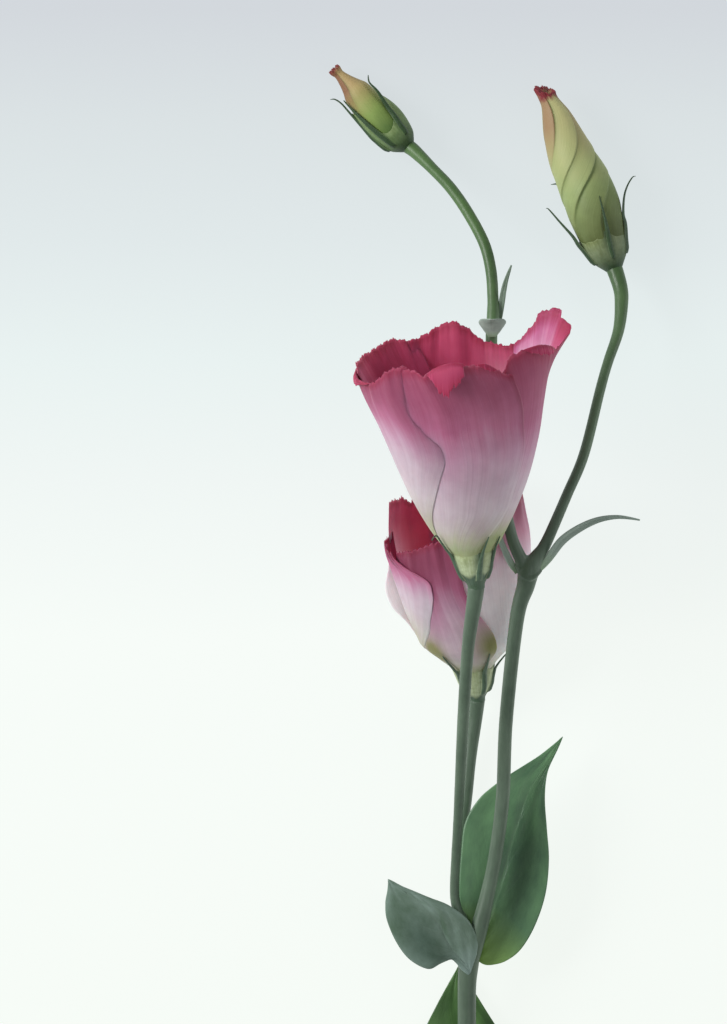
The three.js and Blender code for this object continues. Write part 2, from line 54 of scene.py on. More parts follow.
def smoothValues(values, t):
    # value at t, 0 to 1, of evenly spaced numbers joined by a smooth curve through each of them
    values = np.asarray(values, float)
    last = len(values) - 1
    place = np.clip(t, 0, 1) * last
    i = np.minimum(place.astype(int), last - 1)
    f = place - i
    before, after = values[np.maximum(i - 1, 0)], values[np.minimum(i + 2, last)]
    start, end = values[i], values[i + 1]
    leave, arrive = (end - before) / 2, (after - start) / 2
    bent = f * (2 * (start - end) + leave + arrive)
    return start + f * (leave + f * (3 * (end - start) - 2 * leave - arrive + bent))


def profileLine(profile, t):
    # heights and radii at t along a smooth line through a profile of height, radius
    profile = np.asarray(profile, float)
    return smoothValues(profile[:, 0], t), smoothValues(profile[:, 1], t)


def ramp(x, low, high):
    # 0 below low, 1 above high, straight between
    return np.clip((x - low) / (high - low), 0, 1)


def bump(x, middle, width):
    # a bell of height 1
    return np.exp(-((x - middle) / width) ** 2)


def ripple(x, seed, waves, rough=0.6):
    # a seeded sum of sines over x: each next one is shorter and lower
    draw = np.random.default_rng(seed)
    total = np.zeros_like(x)
    for k, count in enumerate(waves):
        total = total + rough ** k * np.sin(np.pi * count * x + draw.uniform(0, 2 * np.pi))
    return total


def circle(sides):
    # azimuths at even steps all round
    return np.linspace(0, 2 * np.pi, sides, endpoint=False)


def routeLine(route, count):
    # points, headings and radii at even steps along a smooth route of x, y, z, radius; what isn't given is 0
    route = np.asarray(route, float)
    route = np.pad(route, ((0, 0), (0, 4 - route.shape[1])))
    fine = np.linspace(0, 1, 60 * len(route))
    line = np.stack([smoothValues(route[:, k], fine) for k in range(4)], axis=1)
    length = np.concatenate([[0], np.cumsum(np.linalg.norm(np.diff(line[:, :3], axis=0), axis=1))])
    steps = np.linspace(0, length[-1], count)
    line = np.stack([np.interp(steps, length, line[:, k]) for k in range(4)], axis=1)
    heading = np.gradient(line[:, :3], axis=0)
    heading /= np.linalg.norm(heading, axis=1, keepdims=True)
    return line[:, :3], heading, line[:, 3]


# Meshes: a shell is its points, its faces, a uv for each corner and named numbers for each point

def gridCorners(rows, columns, wrapped):
    # corner indices and uvs of the quads of a grid; in a wrapped one the last column joins the first
    cells = columns if wrapped else columns - 1
    i, j = np.meshgrid(np.arange(rows - 1), np.arange(cells), indexing="ij")
    k = (j + 1) % columns
    quads = np.stack([i * columns + j, i * columns + k, (i + 1) * columns + k, (i + 1) * columns + j], -1)
    uv = np.stack([
        np.stack([j, j + 1, j + 1, j], -1) / cells,
        np.stack([i, i, i + 1, i + 1], -1) / (rows - 1),
    ], -1)
    return quads.reshape(-1, 4), uv.reshape(-1, 4, 2)


def tubeRings(centre, heading, radius, sides, across):
    # circles round a line, square to it; across is a direction that the line never takes
    side = np.cross(heading, across)
    side /= np.linalg.norm(side, axis=1, keepdims=True)
    up = np.cross(side, heading)
    turn = circle(sides)[None, :, None]
    ring = np.cos(turn) * side[:, None] + np.sin(turn) * up[:, None]
    return centre[:, None] + np.reshape(radius, (-1, 1, 1)) * ring


def ringShell(rings, **tags):
    # a skin through rings (rows, sides, xyz), closed at both ends by a fan
    rows, sides = rings.shape[:2]
    quads, uv = gridCorners(rows, sides, True)
    points = [rings.reshape(-1, 3), rings[0].mean(0)[None], rings[-1].mean(0)[None]]
    j = np.arange(sides)
    k = (j + 1) % sides
    first = np.stack([k, j, np.full(sides, rows * sides)], -1)
    last = np.stack([j, k, np.full(sides, rows * sides + 1)], -1) + np.array([1, 1, 0]) * (rows - 1) * sides
    capUv = np.stack([(j + 0.5) / sides] * 3, -1)[..., None]
    faces = [quads, first, last]
    uvs = [uv, np.concatenate([capUv, capUv * 0], -1), np.concatenate([capUv, capUv * 0 + 1], -1)]
    values = {}
    for name, value in tags.items():
        value = np.broadcast_to(value, (rows, sides))
        values[name] = np.concatenate([value.ravel(), [value[0].mean()], [value[-1].mean()]])
    return outward({"points": np.concatenate(points), "faces": faces, "uvs": uvs, "tags": values})


def edgeSteps(count):
    # how many steps each of a row of points lies from the nearer end of the row
    steps = np.arange(count)
    return np.minimum(steps + 0.4, count - 0.6 - steps)


def bladeShell(grid, thickness, **tags):
    # a thin closed blade round a grid (rows, columns, xyz): outer is 0 on the face the grid's normal leaves
    rows, columns = grid.shape[:2]
    normal = np.cross(np.gradient(grid, axis=0), np.gradient(grid, axis=1))
    normal /= np.linalg.norm(normal, axis=2, keepdims=True) + 1e-12
    edge = np.minimum.outer(edgeSteps(rows), edgeSteps(columns))
    half = (thickness / 2 * np.sqrt(np.clip(edge / 4, 0.06, 1)))[..., None]
    quads, uv = gridCorners(rows, columns, False)
    under = rows * columns
    index = np.arange(under).reshape(rows, columns)
    rim = np.concatenate([index[0, :-1], index[:-1, -1], index[-1, :0:-1], index[:0:-1, 0]])
    after = np.roll(rim, -1)
    rimFaces = np.stack([after, rim, rim + under, after + under], -1)
    u, v = np.divmod(np.arange(under), columns)
    spot = np.stack([v / (columns - 1), u / (rows - 1)], -1)
    rimUv = np.stack([spot[after], spot[rim], spot[rim], spot[after]], 1)
    values = {}
    for name, value in tags.items():
        values[name] = np.tile(np.broadcast_to(value, (rows, columns)).ravel(), 2)
    values["outer"] = np.repeat([0.0, 1.0], under)
    values["outer"][index[:, [0, -1]]] = 1
    return outward({
        "points": np.concatenate([(grid + side * normal * half).reshape(-1, 3) for side in (1, -1)]),
        "faces": [quads, quads[:, ::-1] + under, rimFaces],
        "uvs": [uv, uv[:, ::-1], rimUv],
        "tags": values,
    })


def outward(shell):
    # turns every face over if the shell is inside out, which its signed volume shows
    points = shell["points"]
    volume = 0
    for faces in shell["faces"]:
        for k in range(1, faces.shape[1] - 1):
            a, b, c = points[faces[:, 0]], points[faces[:, k]], points[faces[:, k + 1]]
            volume += np.einsum("ij,ij->i", a, np.cross(b, c)).sum()
    if volume < 0:
        shell["faces"] = [faces[:, ::-1] for faces in shell["faces"]]
        shell["uvs"] = [uv[:, ::-1] for uv in shell["uvs"]]
    return shell


def pieceName(node):
    # front_corolla becomes frontCorolla
    first, *others = node.split("_")
    return first + "".join(word.capitalize() for word in others)


def makePiece(node, shells, material, name=None):
    # one object from closed shells, in the frame, standing for its node and named after it
    name = name or pieceName(node)
    tags = sorted({tag for shell in shells for tag in shell["tags"]})
    starts = np.cumsum([0] + [len(shell["points"]) for shell in shells])
    points = np.concatenate([shell["points"] for shell in shells]) * mm + cutCentre
    points[:, 2] = np.maximum(points[:, 2], lowest)
    corners, totals, uvs = [], [], []
    for start, shell in zip(starts, shells):
        for faces, uv in zip(shell["faces"], shell["uvs"]):
            corners.append((faces + start).ravel())
            totals.append(np.full(len(faces), faces.shape[1]))
            uvs.append(uv.reshape(-1, 2))
    corners, totals, uvs = np.concatenate(corners), np.concatenate(totals), np.concatenate(uvs)
    mesh = bpy.data.meshes.new(name)
    mesh.vertices.add(len(points))
    mesh.vertices.foreach_set("co", points.ravel())
    mesh.loops.add(len(corners))
    mesh.loops.foreach_set("vertex_index", corners)
    mesh.polygons.add(len(totals))
    mesh.polygons.foreach_set("loop_start", np.cumsum(totals) - totals)
    mesh.polygons.foreach_set("loop_total", totals)
    mesh.polygons.foreach_set("use_smooth", np.ones(len(totals), bool))
    mesh.update(calc_edges=True)
    mesh.uv_layers.new(name="UVMap").data.foreach_set("uv", uvs.ravel())
    for tag in tags:
        values = np.concatenate([
            shell["tags"].get(tag, np.zeros(len(shell["points"]))) for shell in shells
        ])
        mesh.attributes.new(tag, "FLOAT", "POINT").data.foreach_set("value", values)
    mesh.materials.append(material)
    piece = bpy.data.objects.new(name, mesh)
    bpy.context.scene.collection.objects.link(piece)
    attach(piece, "root")
    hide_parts(node)
    print(name, "faces", len(totals))
    return piece


# Materials: a tone is the red, green and blue, from 0 to 255, that an eye sees on a screen

white = (1, 1, 1, 1)
black = (0, 0, 0, 1)


def grey(level):
    # a linear grey, from 0 to 1
    return (level, level, level, 1)


def colour(tone):
    # the linear colour of a tone; a socket or a linear colour, which has a fourth number, stays as it is
    if isinstance(tone, bpy.types.NodeSocket) or len(tone) == 4:
        return tone
    seen = np.array(tone) / 255
    linear = np.where(seen < 0.04045, seen / 12.92, ((seen + 0.055) / 1.055) ** 2.4)
    return (*linear, 1)


class Recipe:
    # a material whose nodes are added one call at a time
    def __init__(self, name):
        self.material = bpy.data.materials.new(name)
        self.material.use_nodes = True
        self.tree = self.material.node_tree

    def give(self, node, inputs):
        # a socket is linked to its input, and a number or a colour is set on it
        for key, value in dict(inputs).items():
            if isinstance(value, bpy.types.NodeSocket):
                self.tree.links.new(value, node.inputs[key])
            else:
                node.inputs[key].default_value = value

    def add(self, kind, inputs=(), **settings):
        # a new node's outputs
        node = self.tree.nodes.new("ShaderNode" + kind)
        for key, value in settings.items():
            setattr(node, key, value)
        self.give(node, inputs)
        return node.outputs

    def shader(self, inputs):
        self.give(self.tree.nodes["Principled BSDF"], inputs)
        return self.material

    def finish(self, skin, rough, relief, gloss, others=()):
        # rough is a pattern and the roughness at its 0 and 1, relief a pattern, its strength and its depth
        pattern, low, high = rough
        return self.shader({
            "Base Color": skin, "Roughness": self.mapped(pattern, low=low, high=high),
            "Normal": self.bumps(*relief), "Specular IOR Level": gloss, **dict(others),
        })

    def bumps(self, pattern, strength, depth):
        return self.add("Bump", {"Strength": strength, "Distance": depth, "Height": pattern})[0]

    def tag(self, name, strength=1):
        # a number that the mesh holds for each of its points, times a strength
        value = self.add("Attribute", attribute_name=name)["Fac"]
        return value if strength == 1 else self.math("MULTIPLY", value, strength)

    def spot(self):
        return self.add("TexCoord")["Object"]

    def flat(self, vector):
        # a vector's x and y
        ends = self.add("SeparateXYZ", {0: vector})
        return ends["X"], ends["Y"]

    def uv(self):
        return self.flat(self.add("UVMap", uv_map="UVMap")[0])

    def math(self, operation, *values):
        return self.add("Math", dict(enumerate(values)), operation=operation)[0]

    def mapped(self, value, start=0, end=1, low=0, high=1):
        # start to end becomes low to high
        return self.add("MapRange", {
            "Value": value, "From Min": start, "From Max": end, "To Min": low, "To Max": high,
        })[0]

    def gradient(self, factor, stops):
        # a colour ramp through stops of position, tone
        node = self.tree.nodes.new("ShaderNodeValToRGB")
        self.give(node, {0: factor})
        elements = node.color_ramp.elements
        while len(elements) < len(stops):
            elements.new(0.5)
        for element, (position, tone) in zip(elements, stops):
            element.position = position
            element.color = colour(tone)
        return node.outputs[0]

    def mix(self, factor, first, second, blend="MIX"):
        # inputs 6 and 7 and output 2 are the ones that hold colours
        inputs = {0: factor, 6: colour(first), 7: colour(second)}
        return self.add("Mix", inputs, data_type="RGBA", blend_type=blend)[2]

    def stained(self, strength, skin, pattern, low, high, tone):
        # the skin times a tone where the pattern is below low, and as it was where it is above high
        stain = self.gradient(pattern, [(low, tone), (high, white)])
        return self.mix(strength, skin, stain, "MULTIPLY")

    def stirred(self, value, pattern, amount):
        # the value moved by up to half the amount, up where the pattern is high and down where it is low
        return self.math("ADD", value, self.math("MULTIPLY_ADD", pattern, amount, -amount / 2))

    def noise(self, vector, scale, detail=4, roughness=0.55):
        return self.add("TexNoise", {
            "Vector": vector, "Scale": scale, "Detail": detail, "Roughness": roughness,
        })[0]

    def streaks(self, across, along, shift=0, detail=4, roughness=0.55):
        # a noise on squeezed uv coordinates, so that it runs in streaks along the blade
        x, y = self.uv()
        joined = self.add("CombineXYZ", {
            0: self.math("MULTIPLY", x, across), 1: self.math("MULTIPLY", y, along), 2: shift,
        })
        return self.noise(joined[0], 1, detail, roughness)


def petalFinish(name, seed):
    # tone runs from the claw, 0, to the rim, 1: outside it goes from yellow-green over lilac white to
    # dusky pink, inside it is crimson, and a pale petal's inside is white below its rim, partly its own colour
    # and partly painted light shining through; tagged patches add painted shade, painted light shining through
    # and a painted glow inside
    recipe = Recipe(name)
    fine = recipe.streaks(60, 2, seed, 5, 0.6)
    broad = recipe.streaks(8, 1.3, seed + 3, 3)
    moved = recipe.stirred(recipe.stirred(recipe.tag("tone"), fine, 0.08), broad, 0.14)
    outer = recipe.gradient(recipe.math("ADD", moved, recipe.tag("flush")), [
        (0, (158, 172, 118)), (0.14, (168, 180, 132)), (0.22, (190, 190, 164)), (0.3, (205, 196, 192)),
        (0.4, (212, 197, 204)), (0.55, (208, 186, 199)), (0.68, (200, 156, 180)), (0.8, (184, 110, 143)),
        (0.9, (168, 90, 121)), (1, (160, 76, 106)),
    ])
    inner = recipe.gradient(moved, [
        (0, (130, 50, 58)), (0.4, (146, 36, 58)), (0.7, (168, 50, 82)), (0.86, (180, 63, 101)),
        (0.96, (186, 68, 106)), (1, (174, 52, 86)),
    ])
    # painted glow: a brighter pink inside where light would shine through the petal
    inner = recipe.mix(recipe.tag("glow", 0.8), inner, (226, 110, 144))
    # a pale inside is partly the petal's own white and partly painted light shining through it
    paleInner = recipe.gradient(moved, [
        (0, (232, 218, 224)), (0.84, (232, 212, 222)), (0.91, (212, 156, 186)), (0.97, (194, 106, 150)),
        (1, (176, 72, 112)),
    ])
    inner = recipe.mix(recipe.tag("pale"), inner, paleInner)
    skin = recipe.mix(recipe.tag("outer"), inner, outer)
    skin = recipe.mix(recipe.tag("olive", 0.9), skin, (130, 134, 62))
    skin = recipe.mix(recipe.tag("rim", 0.6), skin, (150, 40, 70))
    # painted shade: the colour is darkened where the petal lies in shadow or turns away from the light
    skin = recipe.mix(recipe.tag("dim"), skin, (182, 160, 166), "MULTIPLY")
    # painted light: whiter where light would shine through the petal; the same patches let more light through
    # below
    skin = recipe.mix(recipe.tag("fair"), skin, (246, 238, 242))
    cloud = recipe.noise(recipe.spot(), 110, 4, 0.6)
    skin = recipe.stained(0.3, skin, cloud, 0.36, 0.6, (214, 184, 200))
    veins = recipe.streaks(110, 1.2, seed + 7, 4, 0.6)
    skin = recipe.stained(0.11, skin, veins, 0.35, 0.6, (160, 140, 150))
    return recipe.finish(skin, (fine, 0.5, 0.72), (fine, 0.2, 0.0002), 0.2, {
        "Subsurface Weight": recipe.math("MULTIPLY_ADD", recipe.tag("fair"), 0.5, 0.5),
        "Subsurface Scale": recipe.math("MULTIPLY_ADD", recipe.tag("fair"), 1.6, 0.7),
        "Subsurface Radius": (0.0012, 0.0009, 0.0009), "Sheen Weight": 0.05, "Sheen Roughness": 0.5,
    })


def leafFinish(name, seed, dark, light, base, vein):
    # a smooth waxy blade: a pale midrib, faint side veins that arch to the tip, cloudy greens
    recipe = Recipe(name)
    across, along = recipe.uv()
    off = recipe.math("ABSOLUTE", recipe.math("SUBTRACT", across, 0.5))
    cloud = recipe.streaks(3, 3.4, seed)
    fine = recipe.streaks(40, 30, seed + 2, 3)
    green = recipe.gradient(cloud, [(0.32, dark), (0.68, light)])
    green = recipe.mix(recipe.gradient(along, [(0.02, white), (0.24, black)]), green, base)
    green = recipe.stained(0.25, green, fine, 0.3, 0.7, grey(0.7))
    rows = recipe.math("SUBTRACT", recipe.math("MULTIPLY", along, 5.5), recipe.math("MULTIPLY", off, 5.2))
    rows = recipe.math("SINE", recipe.math("MULTIPLY", rows, 2 * np.pi))
    sideVein = recipe.math("MULTIPLY", recipe.gradient(rows, [(0.93, black), (1, white)]),
                           recipe.gradient(off, [(0, white), (0.42, grey(0.1))]))
    midrib = recipe.gradient(off, [(0, white), (0.022, grey(0.1)), (0.05, black)])
    lines = recipe.math("MAXIMUM", recipe.math("MULTIPLY", sideVein, 0.3), midrib)
    skin = recipe.mix(recipe.math("MULTIPLY", lines, 0.26), green, vein)
    # painted shade: the blade darkened in patches where it turns away from the light
    skin = recipe.mix(recipe.tag("shade"), skin, (150, 166, 156), "MULTIPLY")
    height = recipe.math("MULTIPLY_ADD", lines, -0.6, recipe.math("MULTIPLY", fine, 0.35))
    return recipe.finish(skin, (cloud, 0.3, 0.45), (height, 0.4, 0.0004), 0.35)


def stemFinish():
    # a grey-green waxy bloom over fresher green, with fine streaks that run along the stem
    recipe = Recipe("stemSkin")
    spot = recipe.spot()
    streaks = recipe.noise(recipe.add("Mapping", {"Vector": spot, "Scale": (1500, 90, 1500)})[0], 1)
    cloud = recipe.noise(spot, 60)
    height = recipe.mapped(recipe.flat(spot)[1], 0.03, 0.1)
    low = recipe.gradient(cloud, [(0.3, (76, 95, 77)), (0.7, (101, 121, 101))])
    high = recipe.gradient(cloud, [(0.3, (64, 94, 50)), (0.7, (89, 122, 68))])
    green = recipe.stained(0.35, recipe.mix(height, low, high), streaks, 0.3, 0.7, (0.6, 0.62, 0.6, 1))
    return recipe.finish(green, (cloud, 0.36, 0.5), (streaks, 0.25, 0.0003), 0.5)


def calyxFinish(name, keelTone, skinTone, petalTone):
    # dark keels, and between them a pale dry membrane that thins out over the petals; the keel tag also carries
    # a painted shade on one side of a bud's calyx
    recipe = Recipe(name)
    fine = recipe.noise(recipe.spot(), 900)
    streak = recipe.streaks(60, 3)
    worn = recipe.stirred(recipe.tag("keel"), streak, 0.3)
    skin = recipe.mix(recipe.gradient(worn, [(0.1, black), (0.9, white)]), skinTone, keelTone)
    skin = recipe.mix(recipe.tag("fade"), skin, petalTone)
    for strength, pattern, low in ((0.45, fine, 0.38), (0.5, streak, 0.35)):
        skin = recipe.stained(strength, skin, pattern, low, 0.6, (0.56, 0.6, 0.44, 1))
    return recipe.finish(skin, (fine, 0.4, 0.6), (streak, 0.3, 0.0003), 0.4)


def budFinish(name, low, middle, high, margin, tip):
    # furled petals: green below, creamier above, brownish pink along the margins and red at the tip, with
    # a painted shade under each margin's step and on the shaded petals' lower parts
    recipe = Recipe(name)
    cloud = recipe.noise(recipe.spot(), 220)
    streak = recipe.streaks(90, 2.5)
    moved = recipe.stirred(recipe.tag("along"), cloud, 0.2)
    skin = recipe.gradient(moved, [(0.14, low), (0.42, middle), (0.8, high)])
    edge = recipe.stirred(recipe.tag("flush"), streak, 0.3)
    skin = recipe.mix(recipe.gradient(edge, [(0.1, black), (1, grey(0.85))]), skin, margin)
    # painted shade under each margin's step and on the shaded petals' lower parts
    skin = recipe.mix(recipe.tag("under"), skin, (140, 158, 122), "MULTIPLY")
    skin = recipe.mix(recipe.gradient(moved, [(0.93, black), (0.98, white)]), skin, tip)
    skin = recipe.stained(0.3, skin, streak, 0.3, 0.65, (0.66, 0.66, 0.6, 1))
    return recipe.finish(skin, (cloud, 0.45, 0.65), (streak, 0.35, 0.0003), 0.35)


def grainFinish(name, first, second, scale):
    # a fine matt grain between two tones, for the pistil and the anthers
    recipe = Recipe(name)
    grain = recipe.noise(recipe.spot(), scale, 5)
    skin = recipe.gradient(grain, [(0.3, first), (0.7, second)])
    return recipe.shader({"Base Color": skin, "Roughness": 0.7, "Normal": recipe.bumps(grain, 0.6, 0.0003)})


# Stems

stems = {
    "sides": 28,
    "step": 0.7,
    "voxel": 0.34,
    "routes": [
        [(0, 0, 2.17, 2.4), (0, 5, 2.3, 2.4), (0, 14, 4.4, 2.4), (0.1, 37.5, 8.3, 2.35), (0.1, 55, 11, 2.35),
         (0.6, 64, 12.8, 2.6), (-1.2, 71, 14.6, 1.6), (-3, 78, 16.6, 1.2), (-2.8, 87.5, 20, 1.15),
         (-2.2, 98.3, 24.5, 1.2), (-1, 122.5, 35, 1.5), (0.1, 140, 42.3, 1.6), (1.7, 152, 46.7, 2),
         (2.2, 156, 47.8, 2.15)],
        [(0.8, 62, 12.5, 2), (-0.6, 69, 11.6, 1.8), (-2.2, 76, 9, 1.6), (-2.6, 82.5, 6.8, 1.5),
         (-2, 90, 5.2, 1.55), (-0.3, 101.3, 3.7, 1.65), (0.8, 112.5, 3.3, 1.75), (2.2, 122.5, 4.5, 1.85),
         (2.7, 127.5, 6.12, 2.05)],
        [(0.9, 61, 12.3, 2), (3, 69.3, 14.6, 2.2), (5.3, 78.9, 16.6, 1.85), (7.2, 88.5, 18.8, 1.75),
         (9, 103.1, 22.2, 1.75), (9.8, 122.5, 27, 1.75), (12.4, 147.5, 33.2, 1.85), (14.6, 156, 35.2, 2.3),
         (15.5, 160.2, 35.8, 2.7), (17.4, 163.2, 35.6, 1.9), (19.8, 167, 34.8, 1.5), (25, 178.8, 31.3, 1.35),
         (29.3, 189, 27.3, 1.35), (33.4, 205, 20.8, 1.3), (35.4, 212, 18.2, 1.3), (38.1, 220, 15, 1.45),
         (38.9, 227, 12.2, 1.75), (38.6, 231, 10.4, 1.9), (37.07, 236, 8.7, 2.15)],
        [(14.6, 158, 35.4, 1.8), (13.6, 162.2, 36.4, 1.7), (11.3, 167.8, 37.6, 1.5), (9.2, 177.5, 37.5, 1.45),
         (7.5, 192.5, 36.1, 1.4), (6.5, 206.8, 34, 1.4), (6.1, 217.5, 31.6, 1.5), (6.5, 223.2, 29.9, 1.6),
         (6.5, 228, 28.5, 1.45), (6, 235, 26.4, 1.45), (4.3, 241.8, 24, 1.45), (0.3, 249.5, 19.9, 1.45),
         (-4, 255.8, 15.6, 1.45), (-8.8, 261, 10.9, 1.45), (-13, 265.2, 7, 1.75), (-14.85, 266.6, 5.75, 1.9)],
        [(11.9, 161.2, 36.4, 0.35), (13.6, 158.8, 37.7, 0.45), (15.4, 157.8, 38.2, 0.45),
         (17, 158.3, 37.8, 0.45), (18.6, 160, 36.2, 0.4)],
    ],
}


def makeStems(material):
    # circles along each route; the stems run together where they fork, so one skin is drawn round them all
    shells = []
    for route in stems["routes"]:
        length = np.linalg.norm(np.diff(np.array(route)[:, :3], axis=0), axis=1).sum()
        line = routeLine(route, int(length / stems["step"]))
        shells.append(ringShell(tubeRings(*line, stems["sides"], (0, 0, 1))))
    piece = makePiece("branched_stem", shells, material)
    skin = piece.modifiers.new("oneSkin", "REMESH")
    skin.mode = "VOXEL"
    skin.voxel_size = stems["voxel"] * mm
    skin.use_smooth_shade = True
    ease = piece.modifiers.new("ease", "SMOOTH")
    ease.factor = 0.5
    ease.iterations = 4


# Blooms

def axisFrame(part):
    # place(height, radius, azimuth) along a part's axis: azimuth 0 is up, a quarter turn is to the right
    turn, rise = np.radians(part["lean"]), np.radians(part["tilt"])
    axis = np.array([-np.sin(turn) * np.cos(rise), np.cos(turn) * np.cos(rise), np.sin(rise)])
    up = np.array([0, 0, 1]) - axis * axis[2]
    up /= np.linalg.norm(up)
    right = np.cross(axis, up)

    def place(height, radius, azimuth):
        height, radius, azimuth = np.broadcast_arrays(height, radius, azimuth)
        return (np.array(part["base"]) + height[..., None] * axis
                + (radius * np.cos(azimuth))[..., None] * up + (radius * np.sin(azimuth))[..., None] * right)

    return place


